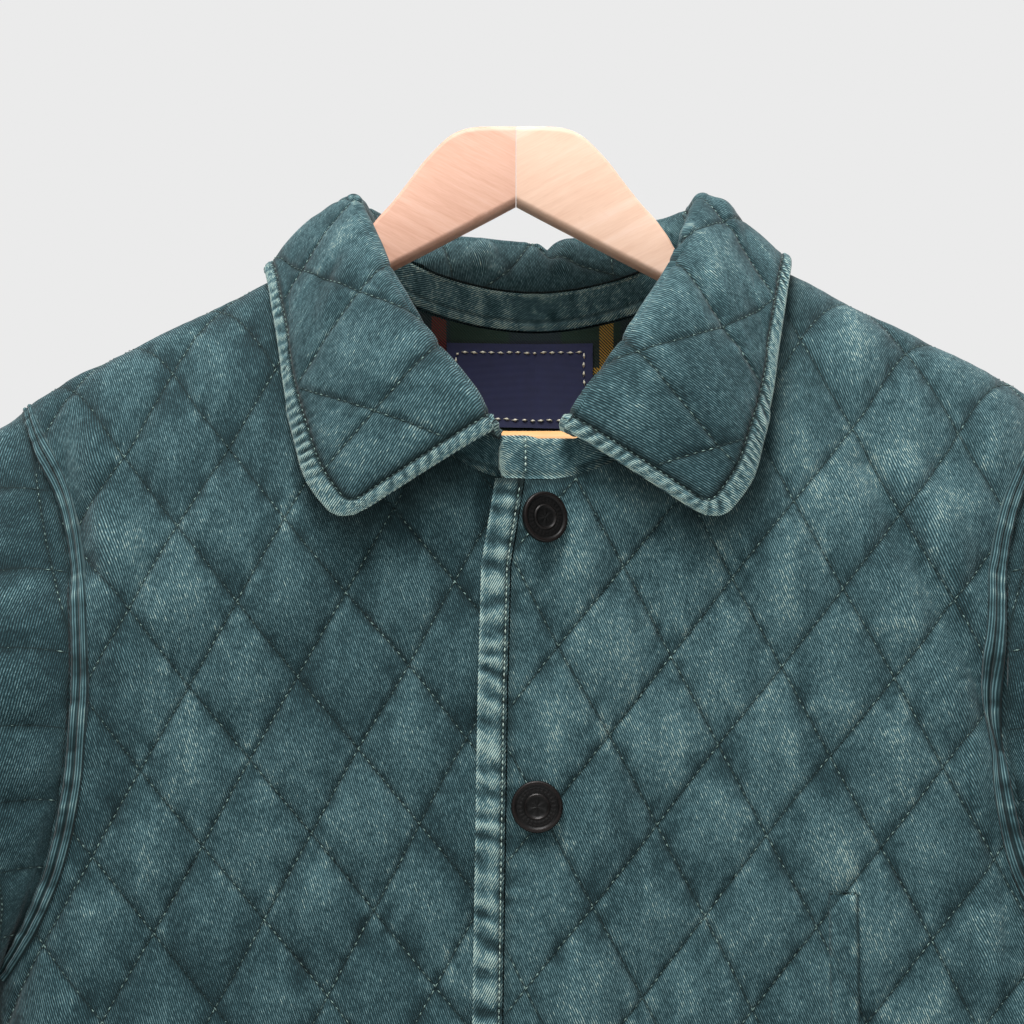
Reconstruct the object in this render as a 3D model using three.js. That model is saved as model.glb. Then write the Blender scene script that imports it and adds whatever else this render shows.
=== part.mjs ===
// A quilted jacket with a turned-down collar, hanging on a wooden hanger.
// Millimetres, +Z up, the jacket's front towards -Y. The origin is the hanger's top centre.
// Left and right are the wearer's, so the left front, sleeve and pocket are on the +X side.
import * as THREE from 'three';

// Cloth: the wall where the quilting is stitched down, and the rise of a diamond's middle
const wall = 2;
const puff = 3;
const puffFade = 24;
const seamGap = 0.3;

// Body: a flat front and back that turn round each side, widening a little to the hem
const body = {
  shift: 10, flatHalf: 206, turn: 52, flare: 10, flareFrom: -430, flareRun: 360, hem: -790,
};

// Shoulders: the ridge where front and back meet, and how the cloth rounds over it
const ridge = {
  height: -62, heightAt: 92, slope: 0.53, droopFrom: 225, droop: 0.006, forward: 14, forwardAt: 250,
  arc: 72, drop: 55, reach: 30, growFront: 22, growBack: 14, growRun: 160,
};

// Largest folds: a crease's ends in the flat, its half width and how far it stands out or dips in
const foldColumns = ['a1', 'c1', 'a2', 'c2', 'half', 'depth'];
const foldsFront = [
  [176, -520, 120, -820, 42, 5],
  [-170, -520, -110, -820, 42, 5],
].map(namedFold);
const foldsBack = [
  [-150, -330, -120, -830, 46, 6],
  [140, -300, 165, -830, 46, 6],
  [10, -420, -10, -830, 50, -5],
].map(namedFold);

const neck = { halfWidth: 95, frontHeight: -190, backHeight: -96, backPower: 0.8 };

// Armholes, from the shoulder ridge to the underarm: distance from the centre, and height
const armholeTop = { x: 252, z: ridgeHeight(252) };
const armholeFront = [armholeTop, ...[
  [240, -178], [229, -203], [222, -230], [219, -260], [218, -290], [219, -318],
  [222, -345], [227, -370], [235, -392], [245, -411], [253, -423], [258, -428],
].map(([x, z]) => ({ x, z }))];
const armholeBack = [armholeTop, ...[
  [243, -180], [236, -210], [232, -240], [230, -270], [230, -300], [231, -330],
  [234, -356], [239, -380], [246, -402], [252, -417], [256, -425], [258, -428],
].map(([x, z]) => ({ x, z }))];
const armholeSteps = 18;

// Sleeves: an oval tube that hangs beside the body, its long axis turned inwards at the front
const sleeve = {
  top: { x: 327, y: -44, z: -452, long: 76, short: 44 },
  cuff: { x: 331, y: -50, z: -752, long: 56, short: 33 },
  turn: 22, twist: 35, halfTop: 205, halfCuff: 145, slack: 1.05,
};

// Direction in which the sleeve leaves the armhole, from its top round the front to the underarm
const sleeveStart = [
  [0.72, 0, -0.66], [0.84, -0.16, -0.5], [0.9, -0.3, -0.4], [0.9, -0.12, -0.36], [0.86, 0.1, -0.34],
  [0.93, -0.05, -0.3], [0.95, -0.25, -0.25],
].map(([x, y, z]) => ({ x, y, z }));

// Quilting on each panel: a diamond's width and height, the lean, and one crossing of the stitch lines
const quiltLeft = { width: 52, height: 79, lean: -5.5, a: 84, c: -315 };
const quiltRight = { width: 50.6, height: 74.5, lean: 5.5, a: -83, c: -316 };
const quiltBack = { width: 51, height: 76, lean: 0, a: 0, c: -250 };
const quiltSleeve = { width: 51, height: 76, lean: 0, a: 0, c: -70 };
const quiltCollar = { width: 76, height: 51, lean: 0, a: 0, c: -40 };

// Front closing: the left front lies over the right one
const overlap = { lift: 8, liftFrom: 60, liftRun: 45, underReach: 22 };
const frontEdge = [[-790, -34], [-600, -32], [-430, -30], [-290, -28], [-230, -26.4], [-190, -20]]
  .map(([z, x]) => ({ z, x }));
const strip = { width: 13.6, wall: 3, steps: 22 };
const button = { radius: 12, sides: 20 };

// Buttons down the front, each lifted to rest on the quilting under it. The top one is turned aside.
const buttonRows = [
  [2, -209, 8.5, 30],
  [-0.5, -343, 3.2, 0],
  [-3, -477, 2.95, 0],
  [-3, -611, 3.85, 0],
  [-3, -745, 2.4, 0],
].map(([x, z, lift, turn]) => ({ x, z, lift, turn }));

// Collar stations from the front corner to the centre of the back: the place round the neck as a share
// of its half width, the fold line, and the falling edge over the body with its lift off the cloth
const collarColumns = ['share', 'foldX', 'foldY', 'foldZ', 'edgeX', 'edgeZ', 'lift', 'bulge'];
const collarFront = [
  [0.19, 16.5, -66, -166, 88, -211, 9, 3],
  [0.435, 34, -61, -140, 103, -192, 8, 7],
  [0.641, 50, -54, -117, 109, -172, 7, 9],
  [0.804, 65, -44, -92, 116, -148, 5, 9],
  [0.913, 77, -30, -67, 122, -122, 4, 8],
  [0.978, 85, -15, -46, 127, -100, 3.5, 7],
];
const collarRidge = [1, 88, 0, -37, 130, -82.3, 3.5, 7];
const collarBack = [
  [0.957, 84, 18, -38, 126, -102, 3.5, 7],
  [0.826, 70, 33, -42, 108, -118, 3.5, 8],
  [0.609, 50, 42, -46, 80, -126, 4, 8],
  [0.315, 25, 47, -48, 40, -129, 4, 8],
  [0, 0, 48, -49, 0, -130, 4, 8],
];
const collar = {
  shift: -4, height: 80, corner: 14, wall: 2.4, roll: 1.6, rollFlat: 4, clear: 9, puff: 2.2, rollPuff: 1.2,
};
const tape = { height: 15.5, wall: 2.2, inset: 0.8, lap: 36, sideRise: 2, gap: 3.1 };

const band = { width: 6, inset: 2.6, lift: 3.4, wall: 1.8, share: 0.86, steps: 30 };
const pocket = { x: 147, width: 13, top: -382, length: 150, wall: 1.6, steps: 8 };
const lining = { x: 0, half: 112, top: -102, bottom: -205, gap: 2.6, wall: 1, steps: 10 };
const label = { x: -8, half: 38, top: -104, bottom: -148, wall: 0.8, steps: 4 };

// Hanger: half profile of top and bottom heights along the arm, its thickness, and the trouser bar
const hangerRows = [
  [0, 0, -40], [12, 0, -46.5], [22, -0.6, -51.9], [30, -3, -56.2], [37, -8, -60],
  [47, -19, -65.4], [55, -30, -69.7], [63, -40.5, -74], [70, -48.5, -77.8], [76, -57, -81.2],
  [81, -65.5, -84.4], [90, -71.5, -91], [105, -78, -98.5], [130, -90.5, -111], [155, -104, -124],
  [178, -116, -136.5], [197, -126.5, -147], [198.5, -127.5, -173], [212, -135.5, -173],
  [220, -140.5, -169], [225, -146.5, -160],
].map(([x, top, bottom]) => ({ x, top, bottom }));
const hanger = { wall: 14, edge: 3.5, glue: 0.15 };
const bar = { radius: 6, z: -163.5, sides: 16 };

const cloth = { green: 0x45675f, strip: 0x58796f, tape: 0x3f625e, tartan: 0x1d3a33, label: 0x1b2340 };

function namedFold(values) {
  return Object.fromEntries(foldColumns.map((name, n) => [name, values[n]]));
}

function smooth(t) {
  const k = Math.min(1, Math.max(0, t));
  return k * k * (3 - 2 * k);
}

// Height of the folds at a flat place: a soft ridge or trough along each line, fading at its ends
function foldHeight(folds, a, c) {
  let height = 0;
  folds.forEach((f) => {
    const [da, dc] = [f.a2 - f.a1, f.c2 - f.c1];
    const length = Math.hypot(da, dc);
    const along = ((a - f.a1) * da + (c - f.c1) * dc) / length;
    const off = Math.abs((a - f.a1) * dc - (c - f.c1) * da) / length;
    const ends = smooth(along / f.half) * smooth((length - along) / f.half);
    height += f.depth * smooth(1 - off / f.half) * ends;
  });
  return height;
}

// Smooth curve through evenly spaced table values, read at a fractional row
function through(rows, key, place) {
  const last = rows.length - 1;
  const at = Math.min(last, Math.max(0, place));
  const k = Math.min(last - 1, Math.floor(at));
  const t = at - k;
  const value = (i) => rows[Math.min(last, Math.max(0, i))][key];
  const [p, q, r, s] = [value(k - 1), value(k), value(k + 1), value(k + 2)];
  return 0.5 * (2 * q + (r - p) * t + (2 * p - 5 * q + 4 * r - s) * t ** 2 + (3 * q - p - 3 * r + s) * t ** 3);
}

// Value of a column at a height, by straight lines between table rows
function atHeight(rows, key, z) {
  const up = rows.findIndex((row) => row.z >= z);
  if (up <= 0) return rows[up === 0 ? 0 : rows.length - 1][key];
  const t = (z - rows[up - 1].z) / (rows[up].z - rows[up - 1].z);
  return rows[up - 1][key] + (rows[up][key] - rows[up - 1][key]) * t;
}

// Body form. Flat pattern places are (a, c): a across, c upwards; face is -1 in front and 1 behind.
function ridgeHeight(x) {
  const out = Math.abs(x);
  const droop = Math.max(0, out - ridge.droopFrom);
  return ridge.height - ridge.slope * (out - ridge.heightAt) - ridge.droop * droop ** 2;
}

function flatHalf(c) {
  return body.flatHalf + body.flare * smooth((body.flareFrom - c) / body.flareRun);
}

function acrossBody(a, c) {
  const flat = flatHalf(c);
  const angle = Math.max(0, Math.abs(a) - flat) / body.turn;
  return { angle, x: Math.sign(a) * (Math.min(Math.abs(a), flat) + body.turn * Math.sin(angle)) };
}

function bodyPoint(a, c, face) {
  const { angle, x } = acrossBody(a, c);
  const extra = ridge.arc - ridge.drop;
  const run = Math.max(0, ridgeHeight(x) + extra - c);
  const bend = Math.min(1, run / ridge.arc) * Math.PI / 2;
  const drop = run < ridge.arc ? ridge.drop * (1 - Math.cos(bend)) : run - extra;
  const grow = face < 0 ? ridge.growFront : ridge.growBack;
  const fold = foldHeight(face < 0 ? foldsFront : foldsBack, a, c);
  const reach = ridge.reach + grow * smooth(drop / ridge.growRun) + fold;
  const y = -ridge.forward * (x / ridge.forwardAt) ** 2 + face * reach * Math.sin(bend) * Math.cos(angle);
  return new THREE.Vector3(x, y, ridgeHeight(x) - drop);
}

// Flat place of a point seen at (x, z)
function flatPlace(x, z) {
  const flat = flatHalf(z);
  const over = Math.min(1, Math.max(0, Math.abs(x) - flat) / body.turn);
  const a = Math.sign(x) * (Math.min(Math.abs(x), flat) + body.turn * Math.asin(over));
  const extra = ridge.arc - ridge.drop;
  const drop = Math.max(0, ridgeHeight(x) - z);
  const run = drop < ridge.drop ? ridge.arc * Math.acos(1 - drop / ridge.drop) / (Math.PI / 2) : drop + extra;
  return { a, c: ridgeHeight(x) + extra - run };
}

// The left front is lifted where it lies over the right one
const overlapLift = (x) => overlap.lift * smooth((overlap.liftFrom - x) / overlap.liftRun);
const leftFrontPoint = (a, c) => bodyPoint(a, c, -1).add(new THREE.Vector3(0, -overlapLift(a), 0));

const rightFrontPoint = (a, c) => bodyPoint(a, c, -1);
const backPoint = (a, c) => bodyPoint(a, c, 1);

// Unit normal of a surface given by a place function, on the side that turn chooses
function normalOf(place, a, c, turn) {
  const step = 0.5;
  const across = place(a + step, c).sub(place(a - step, c));
  const up = place(a, c + step).sub(place(a, c - step));
  return across.cross(up).normalize().multiplyScalar(turn);
}

// Heights of the neck seam in front and behind
const neckSide = ridgeHeight(neck.halfWidth);

function neckFrontHeight(x) {
  const share = Math.min(1, Math.abs(x) / neck.halfWidth);
  return neck.frontHeight + (neckSide - neck.frontHeight) * (1 - Math.sqrt(1 - share ** 2));
}

function neckBackHeight(x) {
  const share = Math.min(1, Math.abs(x) / neck.halfWidth);
  return neckSide + (neck.backHeight - neckSide) * (1 - share ** 2) ** neck.backPower;
}

function armholePlace(share, face) {
  const rows = face < 0 ? armholeFront : armholeBack;
  const at = share * (rows.length - 1);
  return flatPlace(through(rows, 'x', at), through(rows, 'z', at));
}

// Closed solid from points and triangles, turned so that its faces point outwards
function solid(name, points, faces, color, rough = 0.9) {
  let volume = 0;
  for (const [p, q, r] of faces) {
    volume += points[p].dot(points[q].clone().cross(points[r]));
  }
  const ordered = volume < 0 ? faces.map(([p, q, r]) => [p, r, q]) : faces;
  const geometry = new THREE.BufferGeometry();
  geometry.setAttribute('position', new THREE.Float32BufferAttribute(points.flatMap((p) => p.toArray()), 3));
  geometry.setIndex(ordered.flat());
  geometry.computeVertexNormals();
  const material = new THREE.MeshStandardMaterial({ color, roughness: rough, metalness: 0 });
  const mesh = new THREE.Mesh(geometry, material);
  mesh.name = name;
  return mesh;
}

// Faces round the rings of a loft, open at both ends
function ringFaces(rings) {
  const count = rings[0].length;
  const faces = [];
  for (let i = 0; i + 1 < rings.length; i++) {
    const [here, next] = [i * count, (i + 1) * count];
    for (let j = 0; j < count; j++) {
      const k = (j + 1) % count;
      faces.push([here + j, here + k, next + k], [here + j, next + k, next + j]);
    }
  }
  return faces;
}

// Solid through rings of equal count, closed by fans at its ends
function loft(name, rings, color, rough = 0.9) {
  const count = rings[0].length;
  const faces = ringFaces(rings);
  const end = (rings.length - 1) * count;
  for (let j = 1; j < count - 1; j++) {
    faces.push([0, j + 1, j], [end, end + j, end + j + 1]);
  }
  return solid(name, rings.flat(), faces, color, rough);
}

// Flat pattern tools
function distanceToOutline(p, outline) {
  let least = Infinity;
  outline.forEach((s, i) => {
    const e = outline[(i + 1) % outline.length];
    const [dx, dy] = [e.a - s.a, e.c - s.c];
    const along = ((p.a - s.a) * dx + (p.c - s.c) * dy) / (dx ** 2 + dy ** 2);
    const t = Math.min(1, Math.max(0, along));
    least = Math.min(least, Math.hypot(p.a - s.a - t * dx, p.c - s.c - t * dy));
  });
  return least;
}

function inside(p, outline) {
  let within = false;
  outline.forEach((s, i) => {
    const e = outline[(i + 1) % outline.length];
    const crosses = (s.c > p.c) !== (e.c > p.c);
    if (crosses && p.a < s.a + (e.a - s.a) * (p.c - s.c) / (e.c - s.c)) within = !within;
  });
  return within;
}

// Outline moved in, so that two panels stay apart at their seam
function insetOutline(outline, distance) {
  let area = 0;
  outline.forEach((s, i) => {
    const e = outline[(i + 1) % outline.length];
    area += s.a * e.c - e.a * s.c;
  });
  const side = Math.sign(area) * distance;
  return outline.map((p, i) => {
    const before = outline[(i + outline.length - 1) % outline.length];
    const after = outline[(i + 1) % outline.length];
    const [dx, dy] = [after.a - before.a, after.c - before.c];
    const length = Math.hypot(dx, dy);
    return { ...p, a: p.a - side * dy / length, c: p.c + side * dx / length };
  });
}

// Half-diamond grid points inside an outline: even ones lie on stitch crossings, odd ones are middles
function quiltPoints(quilt, outline, margin, high) {
  const lean = THREE.MathUtils.degToRad(quilt.lean);
  const reach = 60;
  const found = [];
  for (let i = -reach; i <= reach; i++) {
    for (let j = -reach; j <= reach; j++) {
      const [u, v] = [i * quilt.width / 2, j * quilt.height / 2];
      const a = quilt.a + u * Math.cos(lean) - v * Math.sin(lean);
      const c = quilt.c + u * Math.sin(lean) + v * Math.cos(lean);
      const p = { a, c, i, j, odd: Math.abs(i + j) % 2 === 1 };
      if (!inside(p, outline)) continue;
      const distance = distanceToOutline(p, outline);
      if (distance < margin) continue;
      p.rise = p.odd ? high * smooth(distance / puffFade) : 0;
      found.push(p);
    }
  }
  return found;
}

// Delaunay triangles of flat points, added one by one. Straight runs are bowed out by a hair and grid
// points nudged by less, so that no four points share a circle.
function triangulate(flat) {
  const bow = 2e-9;
  const nudge = 1e-3;
  const far = 1e5;
  const spots = flat.map((p, k) => {
    const shrink = 1 - bow * (p.a ** 2 + p.c ** 2);
    const shake = p.i === undefined ? 0 : nudge * Math.sin(k * 12.9898);
    return [p.a * shrink + shake, p.c * shrink - shake * Math.cos(k)];
  });
  spots.push([-far, -far], [far, -far], [0, far]);
  const circle = (i, j, k) => {
    const [[ax, ay], [bx, by], [cx, cy]] = [spots[i], spots[j], spots[k]];
    const twice = 2 * ((bx - ax) * (cy - ay) - (by - ay) * (cx - ax));
    const [b2, c2] = [(bx - ax) ** 2 + (by - ay) ** 2, (cx - ax) ** 2 + (cy - ay) ** 2];
    const x = ((cy - ay) * b2 - (by - ay) * c2) / twice;
    const y = ((bx - ax) * c2 - (cx - ax) * b2) / twice;
    return { corners: twice > 0 ? [i, j, k] : [i, k, j], x: ax + x, y: ay + y, r2: x ** 2 + y ** 2 };
  };
  const count = flat.length;
  let found = [circle(count, count + 1, count + 2)];
  for (let k = 0; k < count; k++) {
    const [x, y] = spots[k];
    const edges = new Map();
    found = found.filter((t) => {
      if ((x - t.x) ** 2 + (y - t.y) ** 2 >= t.r2) return true;
      t.corners.forEach((p, n) => {
        const q = t.corners[(n + 1) % 3];
        const key = Math.min(p, q) * 1e5 + Math.max(p, q);
        if (edges.has(key)) edges.delete(key);
        else edges.set(key, [p, q]);
      });
      return false;
    });
    edges.forEach(([p, q]) => found.push(circle(p, q, k)));
  }
  return found.map((t) => t.corners).filter((t) => t.every((p) => p < count));
}

// Each grid cell is split along its stitch line, never from middle to middle
function followStitches(flat, faces) {
  const owner = new Map();
  faces.forEach((face, n) => face.forEach((p, k) => {
    owner.set(`${p},${face[(k + 1) % 3]}`, [n, face[(k + 2) % 3]]);
  }));
  const done = new Set();
  faces.forEach((face, n) => {
    for (let k = 0; k < 3; k++) {
      const [p, q, r] = [face[k], face[(k + 1) % 3], face[(k + 2) % 3]];
      const other = owner.get(`${q},${p}`);
      if (!flat[p].odd || !flat[q].odd || !other || done.has(n) || done.has(other[0])) continue;
      if (flat[r].i === undefined || flat[other[1]].i === undefined) continue;
      faces[n] = [r, p, other[1]];
      faces[other[0]] = [r, other[1], q];
      done.add(n).add(other[0]);
    }
  });
  return faces;
}

// A quilted panel: plain inner wall on the place function, and an outer wall raised in the diamonds
function quiltedPanel(name, outline, quilt, place, turn, options = {}) {
  const { thick = wall, rows = [], margin = 11, high = puff, keepOut, skip = () => false } = options;
  const edge = insetOutline(outline, seamGap * 0.8);
  const flat = [...edge, ...rows, ...quiltPoints(quilt, keepOut ?? edge, margin, high).filter((p) => !skip(p))];
  const kept = triangulate(flat).filter((t) => {
    const middle = { a: 0, c: 0 };
    t.forEach((p) => {
      middle.a += flat[p].a / 3;
      middle.c += flat[p].c / 3;
    });
    return inside(middle, edge);
  });
  const faces = followStitches(flat, kept);
  const inner = flat.map((p) => place(p.a, p.c));
  const outer = flat.map((p, n) => {
    const normal = p.normal ? p.normal.clone() : normalOf(place, p.a, p.c, turn);
    return inner[n].clone().add(normal.multiplyScalar(thick + (p.rise ?? 0)));
  });
  const count = flat.length;
  const all = [];
  const open = new Map();
  faces.forEach(([p, q, r]) => {
    all.push([p, q, r], [p + count, r + count, q + count]);
    [[p, q], [q, r], [r, p]].forEach(([s, e]) => {
      if (!open.delete(`${e},${s}`)) open.set(`${s},${e}`, [s, e]);
    });
  });
  open.forEach(([s, e]) => all.push([e, s, s + count], [e, s + count, e + count]));
  return tidy(name, [...inner, ...outer], all, cloth.green);
}

// Drops points that no face uses
function tidy(name, points, faces, color) {
  const used = new Map();
  const kept = [];
  const renamed = faces.map((face) => face.map((p) => {
    if (!used.has(p)) {
      used.set(p, kept.length);
      kept.push(points[p]);
    }
    return used.get(p);
  }));
  return solid(name, kept, renamed, color);
}

// Evenly spaced places between two ends, without the last one
function run(count, at) {
  return Array.from({ length: count }, (_, k) => at(k / count));
}

const sideHalf = (c) => flatHalf(c) + body.turn * Math.PI / 2;
const underarmFlat = armholePlace(1, -1).c;
const sideSteps = 14;
const ridgeSteps = 9;

// Pieces of outline that panels share, for one side and face
const ridgeRun = (side) => run(ridgeSteps, (t) => {
  const x = neck.halfWidth + (armholeFront[0].x - neck.halfWidth) * t;
  const p = flatPlace(x, ridgeHeight(x));
  return { a: side * p.a, c: p.c };
});
const armholeRun = (side, face) => run(armholeSteps, (t) => {
  const p = armholePlace(t, face);
  return { a: side * p.a, c: p.c };
});
const sideRun = (side) => run(sideSteps, (t) => {
  const c = underarmFlat + (body.hem - underarmFlat) * t;
  return { a: side * sideHalf(c), c };
});

function frontOutline(side, edgeX) {
  const start = edgeX(neck.frontHeight);
  const neckStart = Math.asin(start * side / neck.halfWidth);
  const necklineSteps = Math.round((Math.PI / 2 - neckStart) * 6.5);
  const neckline = run(necklineSteps, (t) => {
    const x = side * neck.halfWidth * Math.sin(neckStart + (Math.PI / 2 - neckStart) * t);
    return flatPlace(x, neckFrontHeight(x));
  });
  const [hemSide, hemEdge] = [side * sideHalf(body.hem), edgeX(body.hem)];
  const hem = run(12, (t) => ({ a: hemSide + (hemEdge - hemSide) * t, c: body.hem }));
  const edge = run(26, (t) => {
    const c = body.hem + (neck.frontHeight - body.hem) * t;
    return { a: edgeX(c), c };
  });
  return [...neckline, ...ridgeRun(side), ...armholeRun(side, -1), ...sideRun(side), ...hem, ...edge];
}

// A row of points a little way down from the ridge rounds the shoulder
function shoulderRow(side) {
  const below = 15;
  return Array.from({ length: ridgeSteps - 1 }, (_, k) => {
    const x = neck.halfWidth + (armholeFront[0].x - neck.halfWidth) * (k + 0.75) / ridgeSteps;
    const p = flatPlace(x, ridgeHeight(x));
    return { a: side * p.a, c: p.c - below };
  });
}

// Outline that keeps quilting points clear of the shoulder rows
function lowered(outline) {
  const below = 15;
  return outline.map((p) => {
    const top = ridgeHeight(p.a) + ridge.arc - ridge.drop;
    return Math.abs(p.a) > neck.halfWidth - 5 && p.c > top - below ? { ...p, c: top - below } : p;
  });
}

function fronts() {
  const stripEdge = (c) => atHeight(frontEdge, 'x', c) + strip.width + 2 * seamGap;
  const left = frontOutline(1, stripEdge);
  const right = frontOutline(-1, () => overlap.underReach);
  const options = (side, outline) => ({ rows: shoulderRow(side), keepOut: lowered(outline) });
  return [
    quiltedPanel('front_left', left, quiltLeft, leftFrontPoint, 1, options(1, left)),
    quiltedPanel('front_right', right, quiltRight, rightFrontPoint, 1, options(-1, right)),
  ];
}

function back() {
  const neckline = (side) => run(6, (t) => {
    const x = neck.halfWidth * Math.sin(t * Math.PI / 2);
    const p = flatPlace(x, neckBackHeight(x));
    return { a: side * p.a, c: p.c };
  });
  const half = (side) => [...neckline(side), ...ridgeRun(side), ...armholeRun(side, 1), ...sideRun(side)];
  const hem = run(24, (t) => ({ a: sideHalf(body.hem) * (1 - 2 * t), c: body.hem }));
  const corner = { a: -sideHalf(body.hem), c: body.hem };
  const outline = [...half(1), ...hem, corner, ...half(-1).slice(1).reverse()];
  const rows = [...shoulderRow(1), ...shoulderRow(-1)];
  return quiltedPanel('back', outline, quiltBack, backPoint, -1, { rows, keepOut: lowered(outline) });
}

// Sleeve form: rulings leave the armhole and bend down into an oval tube
function wrapAngle(angle) {
  return angle - 2 * Math.PI * Math.round(angle / (2 * Math.PI));
}

function sleeveRing(angle, share) {
  const [top, cuff] = [sleeve.top, sleeve.cuff];
  const value = (key) => top[key] + (cuff[key] - top[key]) * share;
  const turn = THREE.MathUtils.degToRad(sleeve.turn);
  const at = angle + THREE.MathUtils.degToRad(sleeve.twist) * (1 - Math.cos(angle)) / 2;
  const [u, v] = [value('long') * Math.cos(at), -value('short') * Math.sin(at)];
  const x = value('x') + u * Math.cos(turn) - v * Math.sin(turn);
  const y = value('y') + u * Math.sin(turn) + v * Math.cos(turn);
  return new THREE.Vector3(x, y, value('z'));
}

function armholePoint(angle) {
  const wrapped = wrapAngle(angle);
  const face = wrapped > 0 ? -1 : 1;
  const p = armholePlace(Math.abs(wrapped) / Math.PI, face);
  return bodyPoint(p.a, p.c, face);
}

const sleeveTube = sleeve.top.z - sleeve.cuff.z;
const capLength = (angle) => armholePoint(angle).distanceTo(sleeveRing(wrapAngle(angle), 0)) * sleeve.slack;
const sleeveLength = capLength(0) + sleeveTube;

function sleeveHalf(b) {
  const share = Math.max(0, (b - (sleeveLength - sleeveTube)) / sleeveTube);
  return sleeve.halfTop + (sleeve.halfCuff - sleeve.halfTop) * share;
}

// Hermite curve from the armhole to the tube, then straight down the tube; c runs down from zero
function sleevePoint(a, c) {
  const angle = wrapAngle(Math.PI * a / sleeveHalf(-c));
  const toCuff = sleeveLength + c;
  if (toCuff < sleeveTube) return sleeveRing(angle, 1 - toCuff / sleeveTube);
  const t = Math.max(-0.02, 1 - (toCuff - sleeveTube) / capLength(angle));
  const [start, end] = [armholePoint(angle), sleeveRing(angle, 0)];
  const at = Math.abs(angle) / Math.PI * (sleeveStart.length - 1);
  const leave = new THREE.Vector3(
    through(sleeveStart, 'x', at),
    through(sleeveStart, 'y', at) * (angle > 0 ? 1 : -0.6),
    through(sleeveStart, 'z', at),
  ).multiplyScalar(0.85 * start.distanceTo(end));
  const arrive = new THREE.Vector3(0, 0, -0.9 * start.distanceTo(end));
  const [t2, t3] = [t ** 2, t ** 3];
  return start.multiplyScalar(2 * t3 - 3 * t2 + 1)
    .add(leave.multiplyScalar(t3 - 2 * t2 + t))
    .add(end.multiplyScalar(3 * t2 - 2 * t3))
    .add(arrive.multiplyScalar(t3 - t2));
}

// The sleeve's cap, underarm seam and cuff in the flat, for the left sleeve
function sleeveOutline() {
  const cap = [];
  for (let k = -armholeSteps; k <= armholeSteps; k++) {
    const angle = Math.PI * k / armholeSteps;
    const inner = angle * (1 - 1e-6);
    const depth = sleeveLength - sleeveTube - capLength(inner);
    const face = inner > 0 ? -1 : 1;
    const place = armholePlace(Math.abs(inner) / Math.PI, face);
    const form = face < 0 ? rightFrontPoint : backPoint;
    const normal = normalOf(form, place.a, place.c, face < 0 ? 1 : -1);
    cap.push({ a: inner / Math.PI * sleeveHalf(depth), c: -depth, normal });
  }
  const low = cap[0].c;
  const down = run(14, (t) => low + (-sleeveLength - low) * t).slice(1);
  const under = down.map((c) => ({ a: sleeveHalf(-c), c }));
  const cuff = run(12, (t) => ({ a: sleeve.halfCuff * (1 - 2 * t), c: -sleeveLength }));
  const corner = { a: -sleeve.halfCuff, c: -sleeveLength };
  const up = down.map((c) => ({ a: -sleeveHalf(-c), c })).reverse();
  return [...cap, ...under, ...cuff, corner, ...up];
}

function sleeves() {
  const outline = sleeveOutline();
  const mirrored = outline.map((p) => ({
    ...p,
    normal: p.normal && new THREE.Vector3(-p.normal.x, p.normal.y, p.normal.z),
  }));
  const rightSleevePoint = (a, c) => sleevePoint(a, c).multiply(new THREE.Vector3(-1, 1, 1));
  const below = 13;
  const rows = outline.slice(1, 2 * armholeSteps).map((p) => ({ a: p.a, c: p.c - below }));
  return [
    quiltedPanel('sleeve_left', outline, quiltSleeve, sleevePoint, -1, { rows, margin: 15 }),
    quiltedPanel('sleeve_right', mirrored, quiltSleeve, rightSleevePoint, 1, { rows, margin: 15 }),
  ];
}

// Pushes a point out of the body's wall and quilting, by scaling the shoulder's oval section
function clearOfBody(p, gap) {
  const top = ridgeHeight(p.x);
  const middleZ = top - ridge.drop;
  const middleY = -ridge.forward * (p.x / ridge.forwardAt) ** 2;
  const grow = p.y < middleY ? ridge.growFront : ridge.growBack;
  const lap = p.y < middleY && p.x > -overlap.underReach ? overlapLift(p.x) : 0;
  const reach = ridge.reach + grow * smooth((top - p.z) / ridge.growRun) + gap + lap;
  const over = Math.max(0, p.z - middleZ);
  const share = Math.hypot((p.y - middleY) / reach, over / (ridge.drop + gap));
  if (share >= 1) return p;
  return new THREE.Vector3(p.x, middleY + (p.y - middleY) / share, p.z - over + over / share);
}

// Collar form, on stations from the right front corner round the back to the left one
const collarHalf = [...collarFront, collarRidge, ...collarBack];
const ridgeRow = collarFront.length;
const collarMiddle = collarHalf.length - 1;
const collarStations = [...collarHalf, ...collarHalf.slice(0, -1).reverse()].map((values, k) => {
  const row = Object.fromEntries(collarColumns.map((name, n) => [name, values[n]]));
  const half = Math.min(k, 2 * collarMiddle - k);
  const side = k <= collarMiddle ? -1 : 1;
  const behind = half > ridgeRow;
  const face = behind ? 1 : -1;
  const place = flatPlace(row.edgeX, row.edgeZ);
  const form = behind ? backPoint : rightFrontPoint;
  const normal = normalOf(form, place.a, place.c, -face);
  const edge = form(place.a, place.c).add(normal.multiplyScalar(wall + row.lift));
  const neckX = row.share * neck.halfWidth;
  const neckFlat = flatPlace(neckX, behind ? neckBackHeight(neckX) : neckFrontHeight(neckX));
  const seam = form(neckFlat.a, neckFlat.c);
  const lap = side > 0 && !behind ? overlapLift(seam.x) : 0;
  return {
    foldX: side * row.foldX + collar.shift, foldY: row.foldY, foldZ: row.foldZ,
    edgeX: side * edge.x + collar.shift, edgeY: edge.y, edgeZ: edge.z, bulge: row.bulge,
    seamX: side * seam.x, seamY: seam.y - lap, seamZ: seam.z,
  };
});

function collarVector(kind, at) {
  const parts = ['X', 'Y', 'Z'].map((axis) => through(collarStations, kind + axis, at));
  return new THREE.Vector3(...parts);
}

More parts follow.
